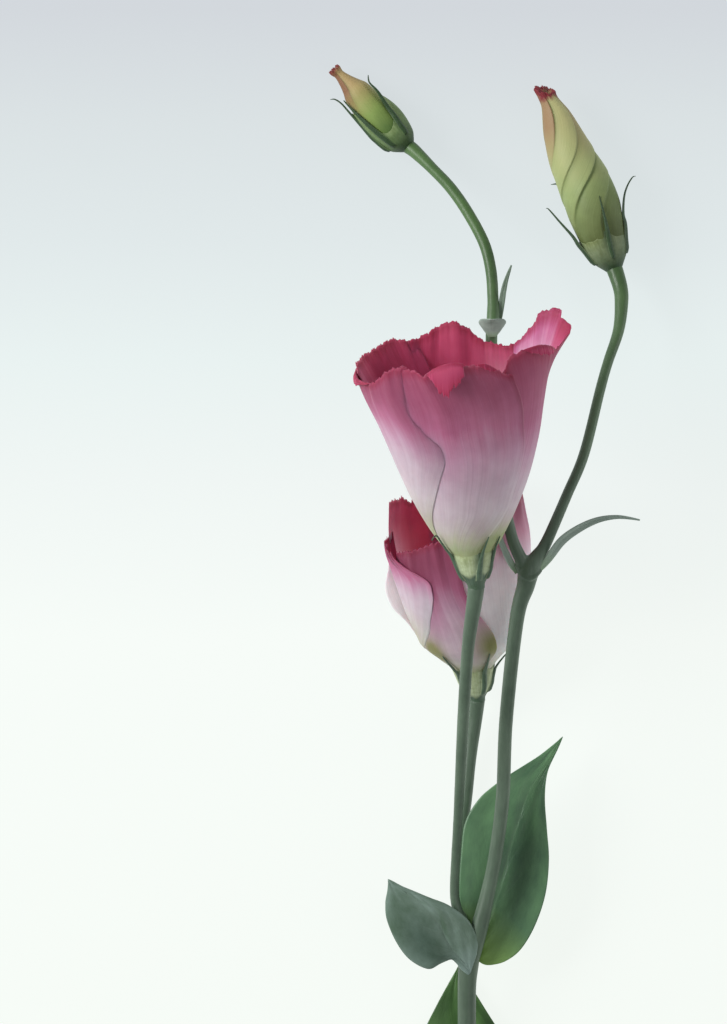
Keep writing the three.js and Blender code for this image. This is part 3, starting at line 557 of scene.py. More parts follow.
# A petal's "outer" and "inner" margins lie so many degrees from "at", at even steps from the claw to the rim.
# It climbs the cup up to "reach", and from "pullFrom" of its length on its own rim line takes over, whose
# height and radius run from the inner margin to the outer one. "swell" pushes it out at even steps of its
# length, on the side that "swellSide" gives, "lift" does so with its outer margin alone, and "tuck" draws that
# margin in. "stand" is its share of the step between layers at the inner and the outer margin, and "ruffle"
# how far the rim waves. A fold turns the rim over outwards from one azimuth to another.
# "flush" reddens the outside all over. "blushes" redden it in patches, and the other patches are named after
# the look that they give: the darkening ones are painted shade, where a petal lies in shadow or turns from
# the light, the whitening ones are painted light shining through, and let more light through as well, the
# glowing ones are a painted glow inside, as of light shining through, and the pale ones whiten the inside,
# partly as the petal's own colour and partly as painted light shining through. A patch is its place across,
# from -1 at the inner margin to 1 at the outer one, its place along, from 0 at the claw to 1 at the rim, its
# half width, its half height and its strength.
# The calyx's rim dips between the sepals by the share "dip". It is dark below the heights in "dark", which
# lie higher by "merge" at a sepal. A sepal drifts sideways by so many degrees, and its path takes it on from
# the height where it leaves the petals.
frontBloom = {
    "base": (2.25, 155.5, 47.68),
    "lean": 6,
    "tilt": 13,
    "cup": [(5, 3.85), (7, 4.65), (9, 5.4), (10.6, 6.15), (13.1, 7.9), (19.3, 11.4), (27, 15), (36.6, 18.2),
            (44.3, 20.4), (52.6, 22.8), (60.5, 25)],
    "petals": [
        {"at": -70, "outer": [0, 1, 7.5, 22, 37, 48, 56.5, 54, 47, 40, 40],
         "inner": [62, 60, 57, 54, 52, 51, 50, 49, 46, 40, 36],
         "rimHeight": [58, 57.5, 57, 56.7, 56.7, 56.8, 57.4, 58.9, 61, 62.2, 62.7],
         "rimRadius": [24.1, 24.1, 24.1, 24, 23.6, 23.5, 23.5, 23.6, 24, 23.9, 23.1],
         "tuck": (1.3, 0.66, 0.8), "ruffle": 0.25,
         "swell": [0, 0, -0.2, -0.5, -0.6, -0.6, -0.4, 0, 0], "swellSide": (0.8, 0.4),
         # by the outer margin the blush and the darkening are partly a pinker flush, partly painted shade where
         # it curves in
         "flush": -0.06, "blushes": [(0.85, 0.74, 0.45, 0.22, 0.12)], "dims": [(0.9, 0.72, 0.4, 0.25, 0.5)],
         "folds": [{"from": -108, "to": -64, "length": [0.6, 1.2, 1.6, 1.5, 1, 0.5, 0.1]}]},
        {"at": 0, "outer": [14, 14, 33.5, 51, 52.5, 56, 56, 51, 47, 41, 35],
         "inner": [84, 84, 78, 68, 60, 56, 54, 52, 50, 52, 54],
         "rimHeight": [57, 58.5, 60.5, 62.1, 60.7, 62.2, 63, 62, 61.8, 59.4, 57.6],
         "rimRadius": [22.2, 22.6, 23.3, 24.2, 24.9, 25, 25, 25, 25, 25, 25],
         "ruffle": 0.15, "flush": 0.1, "dims": [(0.98, 0.8, 0.05, 0.35, 0.4)],
         "fairs": [(0.4, 0.5, 0.4, 0.4, 0.06)],
         "folds": [
             {"from": -17, "to": 5, "length": [0.1, 0.9, 2.4, 4.8, 6.1, 7.6, 6.5, 5.8, 4.9, 4, 2.4]},
             {"from": 13, "to": 25, "length": [0.1, 0.9, 1.2, 0.8, 0.1]},
         ]},
        {"at": 84, "outer": [30, 37, 44, 48, 52, 54, 56, 56, 56, 56, 56],
         "inner": [76, 74, 62, 54, 52, 49, 46, 45, 46, 50, 56.2], "pullFrom": 0.8,
         "rimHeight": [57.6, 59.6, 62.2, 62.6, 62.8, 62.8, 62.6, 62, 61.3, 60.5, 59.8, 59.6, 61.6, 63.6, 65.3,
                       66.9, 66.8, 66.2, 64, 61.9, 60.1, 58.3, 56.7],
         "rimRadius": [23, 23.1, 23.2, 23.8, 24.3, 24.8, 25.2, 25.5, 25.7, 25.9, 25.9, 26.3, 28.7, 30, 28.1,
                       29.1, 27.2, 25.4, 25.1, 24.9, 24.7, 24.4, 24.2],
         "swell": [0, 0, 0.2, 0.4, 0.7, 0.8, 0.5, 0.2, 0], "swellSide": (0.15, 0.5), "ruffle": 0.1,
         "flush": 0.14, "pale": 1, "blushes": [(0, 0.12, 2, 0.14, -0.12)],
         "reds": [(0.2, 0.96, 0.16, 0.07, 0.8)],
         "rims": [(-1, 0.98, 0.16, 0.07, 1), (-0.35, 0.97, 0.35, 0.04, 0.8)],
         "folds": [{"from": 46, "to": 76, "length": [0.1, 1.2, 1.9, 2.1, 1.9, 1.2, 0.1]}]},
        {"at": 172, "outer": [30, 42, 48, 50, 44, 34], "inner": [66, 66, 64, 60, 50, 40],
         "rimHeight": [56.6, 56.6, 56.5, 57, 57.8, 60.8, 63, 62.4, 61.2, 60.1, 60],
         "rimRadius": [25, 24.6, 24.4, 24.4, 24.5, 24.5, 24.5, 24.5, 24.4, 24.2, 23.9],
         "ruffle": 0.35, "stand": (1, 0.3), "tooth": 0.9,
         "pales": [(-0.55, 0.86, 0.3, 0.1, 0.22)], "dims": [(-0.3, 0.93, 0.6, 0.1, 0.3)],
         "glows": [(0.2, 0.8, 1, 0.4, 0.18)]},
        {"at": -128, "outer": [30, 30, 30, 30, 30, 30, 31, 33, 36, 37, 36],
         "inner": [60, 57, 54, 52, 50, 48, 46, 43, 39, 35, 32],
         "rimHeight": [59.5, 60, 60.9, 61, 60.6, 60.1, 59.7, 59.8, 59.6, 58.8, 57.6],
         "rimRadius": [24.3, 24.3, 24.3, 24.3, 24.3, 24.3, 24.3, 24.4, 24.3, 24.1, 23.7],
         "swell": [0, 0, -0.2, -0.5, -0.6, -0.8, -1.1, -1.3, 0], "ruffle": 0.3, "stand": (0.3, 1),
         "tooth": 0.9,
         "glows": [(0.8, 0.97, 0.5, 0.12, 1), (0, 1, 2, 0.04, 0.6), (-0.4, 0.85, 0.8, 0.4, 0.15)],
         "fairs": [(0.75, 0.98, 0.4, 0.08, 0.05)]},
    ],
    "calyx": [(0, 2.1), (1.3, 2.3), (3.2, 3.4), (5.2, 4.45), (7.7, 5.25), (9.5, 5.75), (10.8, 5.85)],
    "dip": 0.1,
    "dark": (2.2, 3.6),
    "merge": 2.2,
    "sepals": [
        {"at": -62, "drift": 8, "leave": 12, "path": [(14.2, 9.3), (15.5, 10.1), (15.9, 11), (15, 12)]},
        {"at": 14, "drift": 13, "leave": 10.5, "path": [(12.6, 8.1), (14.7, 9.4)]},
        {"at": 60, "drift": -8, "leave": 9.5, "path": [(11.5, 7.3), (14, 9)]},
        {"at": 165, "leave": 9, "path": [(12, 8.2), (15, 12)]},
        {"at": -150, "leave": 9, "path": [(12, 8), (15, 11)]},
    ],
    "sepalWidth": [0.8, 0.85, 0.75, 0.55, 0.4, 0.25, 0.12],
    "seed": 11,
}
backBloom = {
    "base": (2.75, 127, 5.8),
    "lean": 6.6,
    "tilt": 20,
    "cup": [(5, 3.6), (7, 4.35), (9, 5), (10.6, 5.8), (14, 9.2), (17, 12), (20, 13.3), (27.1, 15.4), (36, 17),
            (42.8, 17.6), (49, 17.3), (55, 17)],
    "petals": [
        {"at": -62, "reach": 44.8, "outer": [10, 0, -10, -20, 2, 18, 25, 31, 34, 29, -9],
         "inner": [60, 59, 58, 56, 54, 52, 50, 50, 50, 50, 50],
         "rimHeight": [45, 44.9, 44.8, 44.8, 44.7, 44.5, 44.3, 44, 43.9, 43.8, 43.8],
         "rimRadius": [17.4, 17.8, 18.1, 18.3, 18.4, 18.4, 18.4, 18.4, 18.4, 18.4, 18.4],
         "ruffle": 0.25, "flush": -0.06, "tuck": (0.1, 0.2, 0.45),
         "blushes": [(0, 0.62, 2, 0.3, -0.2)]},
        {"at": -12, "reach": 50, "outer": [20, 38, 43, 43, 38, 28, 18, 12, 10, 8, 6],
         "inner": [70, 84, 92, 92, 86, 74, 64, 60, 60, 60, 60],
         "rimHeight": [44, 44.4, 45, 45.7, 46.3, 47, 47.9, 48.8, 49.5, 50, 50],
         "rimRadius": [16.5, 16.7, 16.9, 17.1, 17.3, 17.3, 17.3, 17.3, 17.3, 17.3, 17.3],
         "olives": [(-0.2, 0.3, 0.26, 0.11, 1.4), (0.95, 0.34, 0.35, 0.14, 1.1)],
         "dims": [(-0.3, 0.86, 1.3, 0.4, 0.7)], "blushes": [(0.55, 0.62, 0.3, 0.2, -0.13)],
         "ruffle": 0.2, "flush": 0.16},
        {"at": 80, "reach": 55, "outer": [30, 44, 52, 54, 50, 36],
         "inner": [60, 62, 66, 70, 74, 80, 82, 84, 84, 80, 70],
         "rimHeight": [53, 54, 55, 55.5, 55.5, 55.5, 55, 55, 54, 53, 52],
         "rimRadius": [16.8, 16.8, 16.9, 17, 17, 17, 17, 17, 17, 17, 16.8],
         "ruffle": 0.4, "flush": -0.08, "fairs": [(-0.45, 0.45, 0.9, 0.35, 0.95)]},
        {"at": 152, "reach": 55, "outer": [30, 42, 50, 54, 50, 36], "inner": [62, 58, 52, 50, 44, 32],
         "rimHeight": [52, 53, 54, 55, 55.5, 55.5, 55, 54.5, 54, 53, 52],
         "rimRadius": [17, 17],
         "ruffle": 0.4, "glows": [(0, 0.85, 2, 0.5, 1)]},
        {"at": -136, "reach": 53, "outer": [30, 34, 38, 41, 42, 43, 42, 40, 35, 30, 24],
         "lift": [0, 0, 0, 0.2, 0.9, 3, 3.2, 1, 0, 0, 0],
         "inner": [62, 58, 52, 50, 44, 32],
         "rimHeight": [52, 52.5, 52.8, 52.4, 51, 50.1, 51.9, 52.2, 52.5, 52.8, 52.8],
         "rimRadius": [17, 17.2, 17.4, 17.5, 17.5, 17.5, 17.5, 17.5, 17.5, 17.5, 17.5],
         "ruffle": 0.25, "glows": [(-0.4, 0.85, 1.2, 0.5, 1)],
         "pales": [(1, 0.55, 0.78, 0.3, 0.95)], "fairs": [(1, 0.55, 0.7, 0.28, 0.9)]},
    ],
    "calyx": [(0, 2), (1.3, 2.2), (3.2, 3.3), (5.2, 4.2), (7.7, 4.85), (9.5, 5.3), (10.4, 5.4)],
    "dip": 0.1,
    "dark": (0.8, 2.4),
    "merge": 1.2,
    "sepals": [
        {"at": -50, "drift": 13, "leave": 9.5, "path": [(13, 8.9), (16.6, 12.3)]},
        {"at": 30, "drift": -9, "leave": 9.5, "path": [(13, 8.9), (16.4, 12.1)]},
        {"at": 74, "leave": 9, "path": [(10.5, 6.8), (12, 8.2), (12.8, 9.1)]},
        {"at": 150, "leave": 9, "path": [(12, 8), (16, 12.5)]},
        {"at": -120, "leave": 9, "path": [(12, 8), (15.5, 12)]},
    ],
    "sepalWidth": [0.8, 0.85, 0.75, 0.55, 0.4, 0.25, 0.12],
    "seed": 37,
}
petalShape = {
    "rows": 58,
    "columns": 110,
    "thickness": 0.32,
    "layerStep": 0.65,
    "hem": 0.5,
    "pleat": 0.017,
    "tooth": 0.2,
    "tube": [(2.7, 1.9), (5, 3.3), (7, 4.1), (9.5, 4.9)],
    "tubeWall": 0.5,
    "foldRise": [-1.2, -0.2, 0.35, -0.1, 0, 0],
    "foldSpread": [-0.1, 0.05, 0.45, 0.95, 1, 1],
    "foldFall": [0, 0, 0, 0.05, 0.5, 1],
}
stamens = {
    "count": 5,
    "first": 36,
    "line": [(8, 3.6), (13, 4.4), (19.5, 4.2)],
    "filament": 0.33,
    "anther": [(18.4, 0.15), (19, 0.75), (20.5, 0.85), (22.2, 0.7), (23, 0.15)],
}
pistil = {
    "column": [(2.7, 0.9), (5, 1.4), (8.5, 2.1), (12, 1.7), (14, 0.8), (15, 0.6), (19, 0.6), (20.5, 1.1)],
    "lobe": [(19.4, 0.2), (20, 1.3), (21, 1.7), (22, 1.3), (22.6, 0.2)],
    "lobeOut": 1.4,
}


def petalMargins(petal, u):
    # the middle azimuth and the half width, in degrees
    outer, inner = smoothValues(petal["outer"], u), smoothValues(petal["inner"], u)
    return petal["at"] + (outer - inner) / 2, (outer + inner) / 2


def patches(blade, kind, u, v, ground=0):
    # the strongest of a blade's patches of one kind at each point, over what it has all over
    total = ground
    for side, up, wide, high, strength in blade.get(kind, []):
        total = np.maximum(total, strength * bump(v, side, wide) * bump(u, up, high))
    return np.minimum(1.0, total)


def petalShell(place, cup, petal, seed):
    # the petal climbs the cup by its arc length and turns about the axis by its share of the petal's
    # width; the outer margin stands off the inner one, and near the rim its own rim line takes over
    height, radius = profileLine(cup, np.linspace(0, 1, 600))
    arc = np.concatenate([[0], np.cumsum(np.hypot(np.diff(height), np.diff(radius)))])
    u = np.linspace(0, 1, petalShape["rows"] + 1)[:, None] ** 0.9
    v = np.linspace(-1, 1, petalShape["columns"] + 1)[None, :]
    w = (v + 1) / 2
    s = u * np.interp(petal.get("reach", 99), height, arc)
    height, radius = np.interp(s, arc, height), np.interp(s, arc, radius)
    pull = ramp(u, petal.get("pullFrom", 0.45), 1) ** 2
    within, beyond = petal.get("stand", (1, 1))
    stand = np.where(v < 0, within, beyond) * v * np.abs(v) * np.minimum(1, 0.15 + 2 * u) * (1 - pull)
    swell = ramp(w, *petal.get("swellSide", (-1, 0))) * smoothValues(petal.get("swell", [0, 0]), u)
    radius = radius + petalShape["layerStep"] * stand + swell + pull * (
        smoothValues(petal["rimRadius"], w) - radius[-1])
    radius = radius + smoothValues(petal.get("lift", [0, 0]), u) * ramp(v, 0.4, 1) ** 2
    # the outer margin is drawn in: a little all along as its hem, and further where it is tucked
    tuck, start, end = petal.get("tuck", (0, 0, 1))
    hem = petalShape["hem"] * ramp(v, 0.5, 1) ** 1.2 * np.minimum(1, 0.2 + 2 * u)
    radius = radius - (1 - pull) * (tuck * ramp(v, 0.5, 1) * ramp(u, start, end) + hem)
    height = height + pull * (smoothValues(petal["rimHeight"], w) - height[-1])
    # waves of the rim, pleats that run along the petal, and fine teeth
    radius = radius + petal["ruffle"] * pull * ripple(v, seed + 2, (3, 5, 8), 0.6)
    radius = radius + petalShape["pleat"] * np.sin(np.pi * u) * ripple(v, seed + 4, (9, 17, 29), 0.7)
    tooth = petalShape["tooth"] * petal.get("tooth", 1)
    height = height + tooth * ramp(u, 0.9, 1) * ripple(v, seed, (11, 23, 41, 57), 0.8)
    middle, half = petalMargins(petal, u)
    grid = place(height, radius, np.radians(middle + half * v))
    edge = 1 - np.minimum(1, np.minimum(1 - v, 1 + v) * 9)
    tone = np.clip(u + 0.05 * edge * ramp(u, 0.3, 0.8), 0, 1)
    flush = petal.get("flush", 0) * np.sin(np.pi * u)
    for side, up, wide, high, amount in petal.get("blushes", []):
        flush = flush + amount * bump(v, side, wide) * bump(u, up, high)
    pale = patches(petal, "pales", u, v, petal.get("pale", 0)) * (1 - patches(petal, "reds", u, v))
    rim = np.maximum(ramp(u, 0.955, 0.985), patches(petal, "rims", u, v))
    # the darkening patches paint shade, the whitening ones paint light shining through, the glow ones a glow
    # inside
    looks = {look: patches(petal, look + "s", u, v) for look in ("olive", "dim", "fair", "glow")}
    return bladeShell(grid, petalShape["thickness"], tone=tone, rim=rim, pale=pale, flush=flush, **looks)


def foldShell(place, petal, fold):
    # a strip that goes up inside the rim, over it and down outside by the fold's length there
    across = np.linspace(0, 1, 90)[None, :]
    along = np.linspace(0, 1, 26)[:, None]
    azimuth = fold["from"] + (fold["to"] - fold["from"]) * across
    middle, half = petalMargins(petal, np.ones(1))
    w = ((azimuth - middle) / half + 1) / 2
    length = smoothValues(fold["length"], across)
    length = length * (1 + 0.07 * ripple(across, 7, (9, 19, 33), 0.8))
    size = np.minimum(1, length / 2.5)
    down = smoothValues(petalShape["foldFall"], along)
    fall = down * length
    height = smoothValues(petal["rimHeight"], w) + size * smoothValues(petalShape["foldRise"], along) - fall
    out = smoothValues(petal["rimRadius"], w) + size * smoothValues(petalShape["foldSpread"], along)
    grid = place(height, out + 0.12 * fall, np.radians(azimuth))
    tone = 0.98 - 0.25 * down * ramp(length, 1, 4)
    # painted glow on the turned-over strip, as of light shining through it
    glow = 0.3 * ramp(along, 0.4, 0.6) * (1 - ramp(along, 0.7, 1)) * ramp(length, 2, 5)
    return bladeShell(grid, petalShape["thickness"], tone=tone, rim=ramp(tone, 0.955, 0.985), glow=glow)


def latheRings(place, profile, rows, sides):
    # circles round an axis, whose heights and radii follow a smooth line through the profile
    return place(*profileLine(profile, np.linspace(0, 1, rows)[:, None]), circle(sides)[None, :])


def shifted(place, azimuth, radius):
    # the same frame moved off the axis
    move = place(0, radius, azimuth) - place(0, 0, 0)
    return lambda height, spread, turn: place(height, spread, turn) + move


def tubeShell(rings):
    # a ring-shaped skin: the last ring joins the first
    rows, sides = rings.shape[:2]
    i, j = np.meshgrid(np.arange(rows), np.arange(sides), indexing="ij")
    after, k = (i + 1) % rows, (j + 1) % sides
    quads = np.stack([i * sides + j, i * sides + k, after * sides + k, after * sides + j], -1).reshape(-1, 4)
    uv = np.zeros((len(quads), 4, 2))
    values = {"tone": np.zeros(rows * sides), "outer": np.ones(rows * sides)}
    return outward({"points": rings.reshape(-1, 3), "faces": [quads], "uvs": [uv], "tags": values})


def makeCorolla(name, bloom, petalSkin, antherSkin):
    # the petals and their folds, the short tube that joins them, and the stamens that grow from it
    node = name + "_corolla"
    place = axisFrame(bloom)
    shells = []
    for k, petal in enumerate(bloom["petals"]):
        shells.append(petalShell(place, bloom["cup"], petal, bloom["seed"] + 20 * k))
        shells += [foldShell(place, petal, fold) for fold in petal.get("folds", [])]
    wall = petalShape["tubeWall"] / 2
    outside = [(h, r + wall) for h, r in petalShape["tube"]]
    inside = [(h, r - wall) for h, r in reversed(petalShape["tube"])]
    profile = np.array(outside + inside)
    shells.append(tubeShell(place(profile[:, :1], profile[:, 1:], circle(64)[None, :])))
    anthers = []
    height, radius = np.array(stamens["line"]).T
    for k in range(stamens["count"]):
        azimuth = np.radians(stamens["first"] + 360 / stamens["count"] * k)
        centre, heading, _ = routeLine(place(height, radius, azimuth), 14)
        filament = tubeRings(centre, heading, stamens["filament"], 10, (1, 0, 0))
        shells.append(ringShell(filament, tone=0.05))
        near = shifted(place, azimuth, radius[-1])
        anthers.append(ringShell(latheRings(near, stamens["anther"], 16, 14)))
    makePiece(node, shells, petalSkin)
    makePiece(node, anthers, antherSkin, name + "Anthers")


def apart(azimuth, middle):
    # the angle between azimuths and a middle one
    return np.abs((azimuth - middle + np.pi) % (2 * np.pi) - np.pi)


def apartFrom(azimuth, middle):
    # the same in degrees, from a middle one in degrees
    return np.degrees(apart(azimuth, np.radians(middle)))


def nearSepal(azimuth, sepals, width):
    # 1 on a sepal's middle line, falling to 0 between sepals
    lines = np.radians([sepal["at"] for sepal in sepals])
    return bump(apart(azimuth[..., None], lines).min(-1), 0, np.radians(width))


def hugLine(part, clear):
    # how far out a sepal lies: on the calyx first, then just clear of the petals
    calyx = np.asarray(part["calyx"], float)
    petals = np.asarray(part.get("cup", part.get("profile")), float)

    def hugged(height):
        low = np.interp(height, calyx[:, 0], calyx[:, 1]) + 0.1
        high = np.interp(height, petals[:, 0], petals[:, 1]) + clear
        return low + (np.maximum(low, high) - low) * ramp(height, 0.6 * calyx[-1, 0], calyx[-1, 0])

    return hugged


def sepalShell(place, hugged, sepal, width):
    # a narrow keeled blade that lies on what it hugs, then stands off it towards its tip
    rows, columns = 60, 14
    u = np.linspace(0, 1, rows + 1)[:, None]
    v = np.linspace(-1, 1, columns + 1)[None, :]
    route = [(h, hugged(h)) for h in np.linspace(2.6, sepal["leave"], 6)] + sepal["path"]
    line = routeLine(route, rows + 1)[0]
    height, radius = line[:, :1], line[:, 1:2]
    half = smoothValues(width, u) * sepal.get("wide", 1)
    thick = 0.3 + 0.55 * (1 - np.abs(v)) * (1 - u) ** 0.8
    azimuth = np.radians(sepal["at"] + sepal.get("drift", 0) * ramp(height, 5, height.max()))
    grid = place(height, radius + thick / 2 - 0.1, azimuth + v * half / radius)
    keel = np.clip(1.4 - 1.1 * v ** 2 * ramp(0.75 - u, 0, 0.5), 0, 1)
    return bladeShell(grid, thick, keel=keel)


def makeCalyx(node, part, clear, material):
    # a thin cup whose rim dips between the sepals, dark at its base, and the sepals on it; a lobe is an
    # azimuth, a half width, the height that the rim climbs to there, how far it bulges and how far it leans
    # in; a side in painted shade is an azimuth, a half width and how dark the painted shade makes that side
    place = axisFrame(part)
    turn = circle(140)[None, :]
    near = nearSepal(turn, part["sepals"], 16)
    t = np.linspace(0, 1, 40)[:, None]
    height, radius = profileLine(part["calyx"], t)
    wall = 0.34 - 0.24 * t
    within = height[:, 0] > 2.2
    height = np.concatenate([height, height[within][::-1]])
    radius = np.concatenate([radius, (radius - wall)[within][::-1]])
    top = part["calyx"][-1][0]
    ragged = 0.15 * ripple(turn / np.pi, 3, (4, 9, 14), 0.6)
    dip = part["dip"] * (1 - near) - 0.1 * ragged
    high = height * (1 - dip * ramp(height, 0.3 * top, top))
    radius = radius + 0.2 * near * ramp(height, 0.5, 3)
    for at, wide, peak, bulge, lean in part.get("lobes", []):
        rise = ramp(height, 0.35 * top, top)
        spread = np.exp(-(apartFrom(turn, at) / wide) ** 4)
        high = high + (peak - top) * rise * spread
        radius = radius + (4 * bulge * rise * (1 - rise) - lean * rise) * spread ** 2
    merged = part.get("merge", 0) * nearSepal(turn, part["sepals"], 30)
    dark = 1 - ramp(high + ragged - merged, *part["dark"])
    # painted shade: one side darkened as if turned from the light
    middle, wide, strength = part.get("dusk", (0, 1, 0))
    dark = np.maximum(dark, strength * bump(apartFrom(turn, middle), 0, wide))
    fade = ramp(height, 0.62 * top, top) * (1 - near) * (1 - dark)
    # the keel tag carries the keels, the dark base and the painted shade of a side alike
    keel = np.maximum(0.75 * near * ramp(height, 0, 2), dark)
    hugged = hugLine(part, clear)
    shells = [ringShell(place(high, radius, turn), fade=fade, keel=keel)]
    shells += [sepalShell(place, hugged, sepal, part["sepalWidth"]) for sepal in part["sepals"]]
    makePiece(node, shells, material)


def makePistil(node, bloom, material):
    # the ovary and style are one column, and two lobes stand side by side on it
    place = axisFrame(bloom)
    shells = [ringShell(latheRings(place, pistil["column"], 60, 32))]
    for azimuth in circle(2):
        near = shifted(place, azimuth, pistil["lobeOut"])
        shells.append(ringShell(latheRings(near, pistil["lobe"], 20, 24)))
    makePiece(node, shells, material)


# Buds

# "turns" says how far a petal's margin has wound round at even steps of height, "side" how far the axis
# bows to the right there, and each of the "lines" how strong one margin's step, and the painted shade under it,
# is there. Above the height "frill" the tips stand up, ragged, and their line slants by so much towards an
# azimuth. "brown" and "shaded" say how brown each petal turns above, between the shares of height in
# "brownFrom", and how much painted shade it has below.
# "floor" is how far up the colours the bottom of the frill lies. The tones run from the base to the tip, then
# come the margins' and the tip's own, and the calyx's tones are its keels', its skin's and its thin rim's.
rightBud = {
    "base": (37.25, 235.55, 8.6),
    "lean": 21.3,
    "tilt": -0.6,
    "side": [0, 0.2, 0.55, 0.75, 0.6, 0.1, 0.1, 0.3, -0.1],
    "profile": [(2, 2), (3, 3.6), (5, 4.65), (8, 5.7), (12.3, 6.4), (16, 6.8), (20, 6.8), (24, 6.6),
                (28, 6.2), (32.5, 5.5), (37, 4.7), (41, 3.7), (44.6, 2.5), (46.8, 2.2), (48.4, 2.25),
                (48.2, 1.6), (47.3, 0.3)],
    "step": 0.55,
    "lines": [[0.1, 0.3, 1, 1, 0.3, 0.2], [0.1, 0.6, 0.7, 0.2, 0.2, 0.2], [0.3, 0.3],
              [0, 0, 0, 0.2, 0.8, 0.8], [0, 0, 0.5, 0.6, 0.15, 0.2]],
    "turns": [-72, -70, -60, -25, 30, 88, 121, 134, 128],
    "frill": 45,
    "ragged": 0.22,
    "slant": (1.5, 50),
    "brown": [0.1, 0.1, 0.85, 0.1, 0.5],
    "brownFrom": (0.5, 0.8),
    "shaded": [0.35, 0.5, 0.5, 0.1, 0.1],
    "floor": 0.985,
    "calyx": [(0, 2.15), (0.8, 2.75), (1.8, 3.5), (2.7, 4.1), (4.6, 4.9), (6.9, 5.5), (9.5, 5.8)],
    "dusk": (85, 40, 0.55),
    "dip": 0.1,
    "dark": (0, 6),
    "sepals": [
        {"at": -76, "drift": -8, "leave": 9, "path": [(11.6, 6.9), (16.2, 8.6), (20, 10), (20.4, 10.6)]},
        {"at": 10, "drift": 14, "leave": 14, "wide": 0.5, "path": [(17.3, 7.1), (18.4, 7.4)]},
        {"at": 80, "drift": 6, "leave": 10,
         "path": [(12, 6.9), (14.9, 8.1), (17.1, 9.4), (18.8, 11), (19.9, 12.6), (19.8, 13.4)]},
        {"at": 156, "leave": 11, "path": [(16, 7.4), (21, 8)]},
        {"at": -138, "leave": 12, "path": [(18, 7), (23, 6.9), (25.2, 8.2), (25.8, 10.4)]},
    ],
    "sepalWidth": [1.1, 1.3, 1.25, 1, 0.7, 0.45, 0.16],
    "tones": [(106, 118, 66), (162, 178, 118), (194, 191, 134), (146, 92, 72), (132, 44, 52)],
    "calyxTones": [(58, 84, 54), (134, 148, 112), (130, 142, 90)],
    "seed": 5,
}
topBud = {
    "base": (-14.5, 266.25, 5.7),
    "lean": 44.6,
    "tilt": -1,
    "side": [0, 0, 0, 0, 0, 0.2, 0.4, 0.4, 0.4],
    "profile": [(1.8, 1.8), (2.6, 3.2), (4.5, 4), (7, 4.35), (10, 4.35), (13, 4.25), (16, 4), (19, 3.6),
                (21, 2.7), (23, 1.9), (25.3, 1.3), (26.6, 1.55), (27.3, 1.4), (26.9, 0.7), (26.4, 0.2)],
    "step": 0.25,
    "lines": [[0, 0, 0, 0.3, 0.8, 0.6], [0, 0], [0, 0], [0, 0], [0, 0]],
    "turns": [-60, -52, -45, -38, -34, -31, -23, -18, -10],
    "frill": 25,
    "ragged": 0.16,
    "slant": (0.3, 0),
    "brown": [0.35, 0.4, 0.4, 0.6, 1],
    "brownFrom": (0.45, 0.75),
    "shaded": [0, 0.3, 0.5, 0.3, 0.2],
    "floor": 0.97,
    "calyx": [(0, 1.85), (0.9, 2.7), (2.2, 3.7), (4, 4.3), (5.5, 4.52), (7.5, 4.5)],
    "lobes": [(99, 48, 16.5, 0.9, 0.4), (-78, 26, 16, 0.5, 0.4)],
    "dip": 0.2,
    "dark": (0, 6),
    "sepals": [
        {"at": 30, "drift": 34, "leave": 11, "path": [(15.2, 5.2), (18, 4.9), (19, 5.15), (20, 6)]},
        {"at": -38, "drift": -18, "leave": 12, "path": [(15.7, 4.5), (19.8, 4.1)]},
        {"at": -88, "leave": 9, "wide": 1.3,
         "path": [(12.3, 4.6), (16.2, 4.4), (19.6, 4.25), (21.6, 4.7), (22.4, 5.6)]},
        {"at": 165, "leave": 10, "path": [(14, 4.8), (18, 4.4)]},
    ],
    "sepalWidth": [0.8, 0.85, 0.8, 0.7, 0.55, 0.35, 0.14],
    "tones": [(70, 102, 44), (138, 162, 86), (202, 180, 124), (126, 74, 54), (128, 52, 48)],
    "calyxTones": [(54, 82, 48), (118, 144, 92), (140, 160, 108)],
    "seed": 9,
}


def eased(ring):
    # each value round the ring drawn towards its neighbours
    return (np.roll(ring, 1, 1) + 2 * ring + np.roll(ring, -1, 1)) / 4


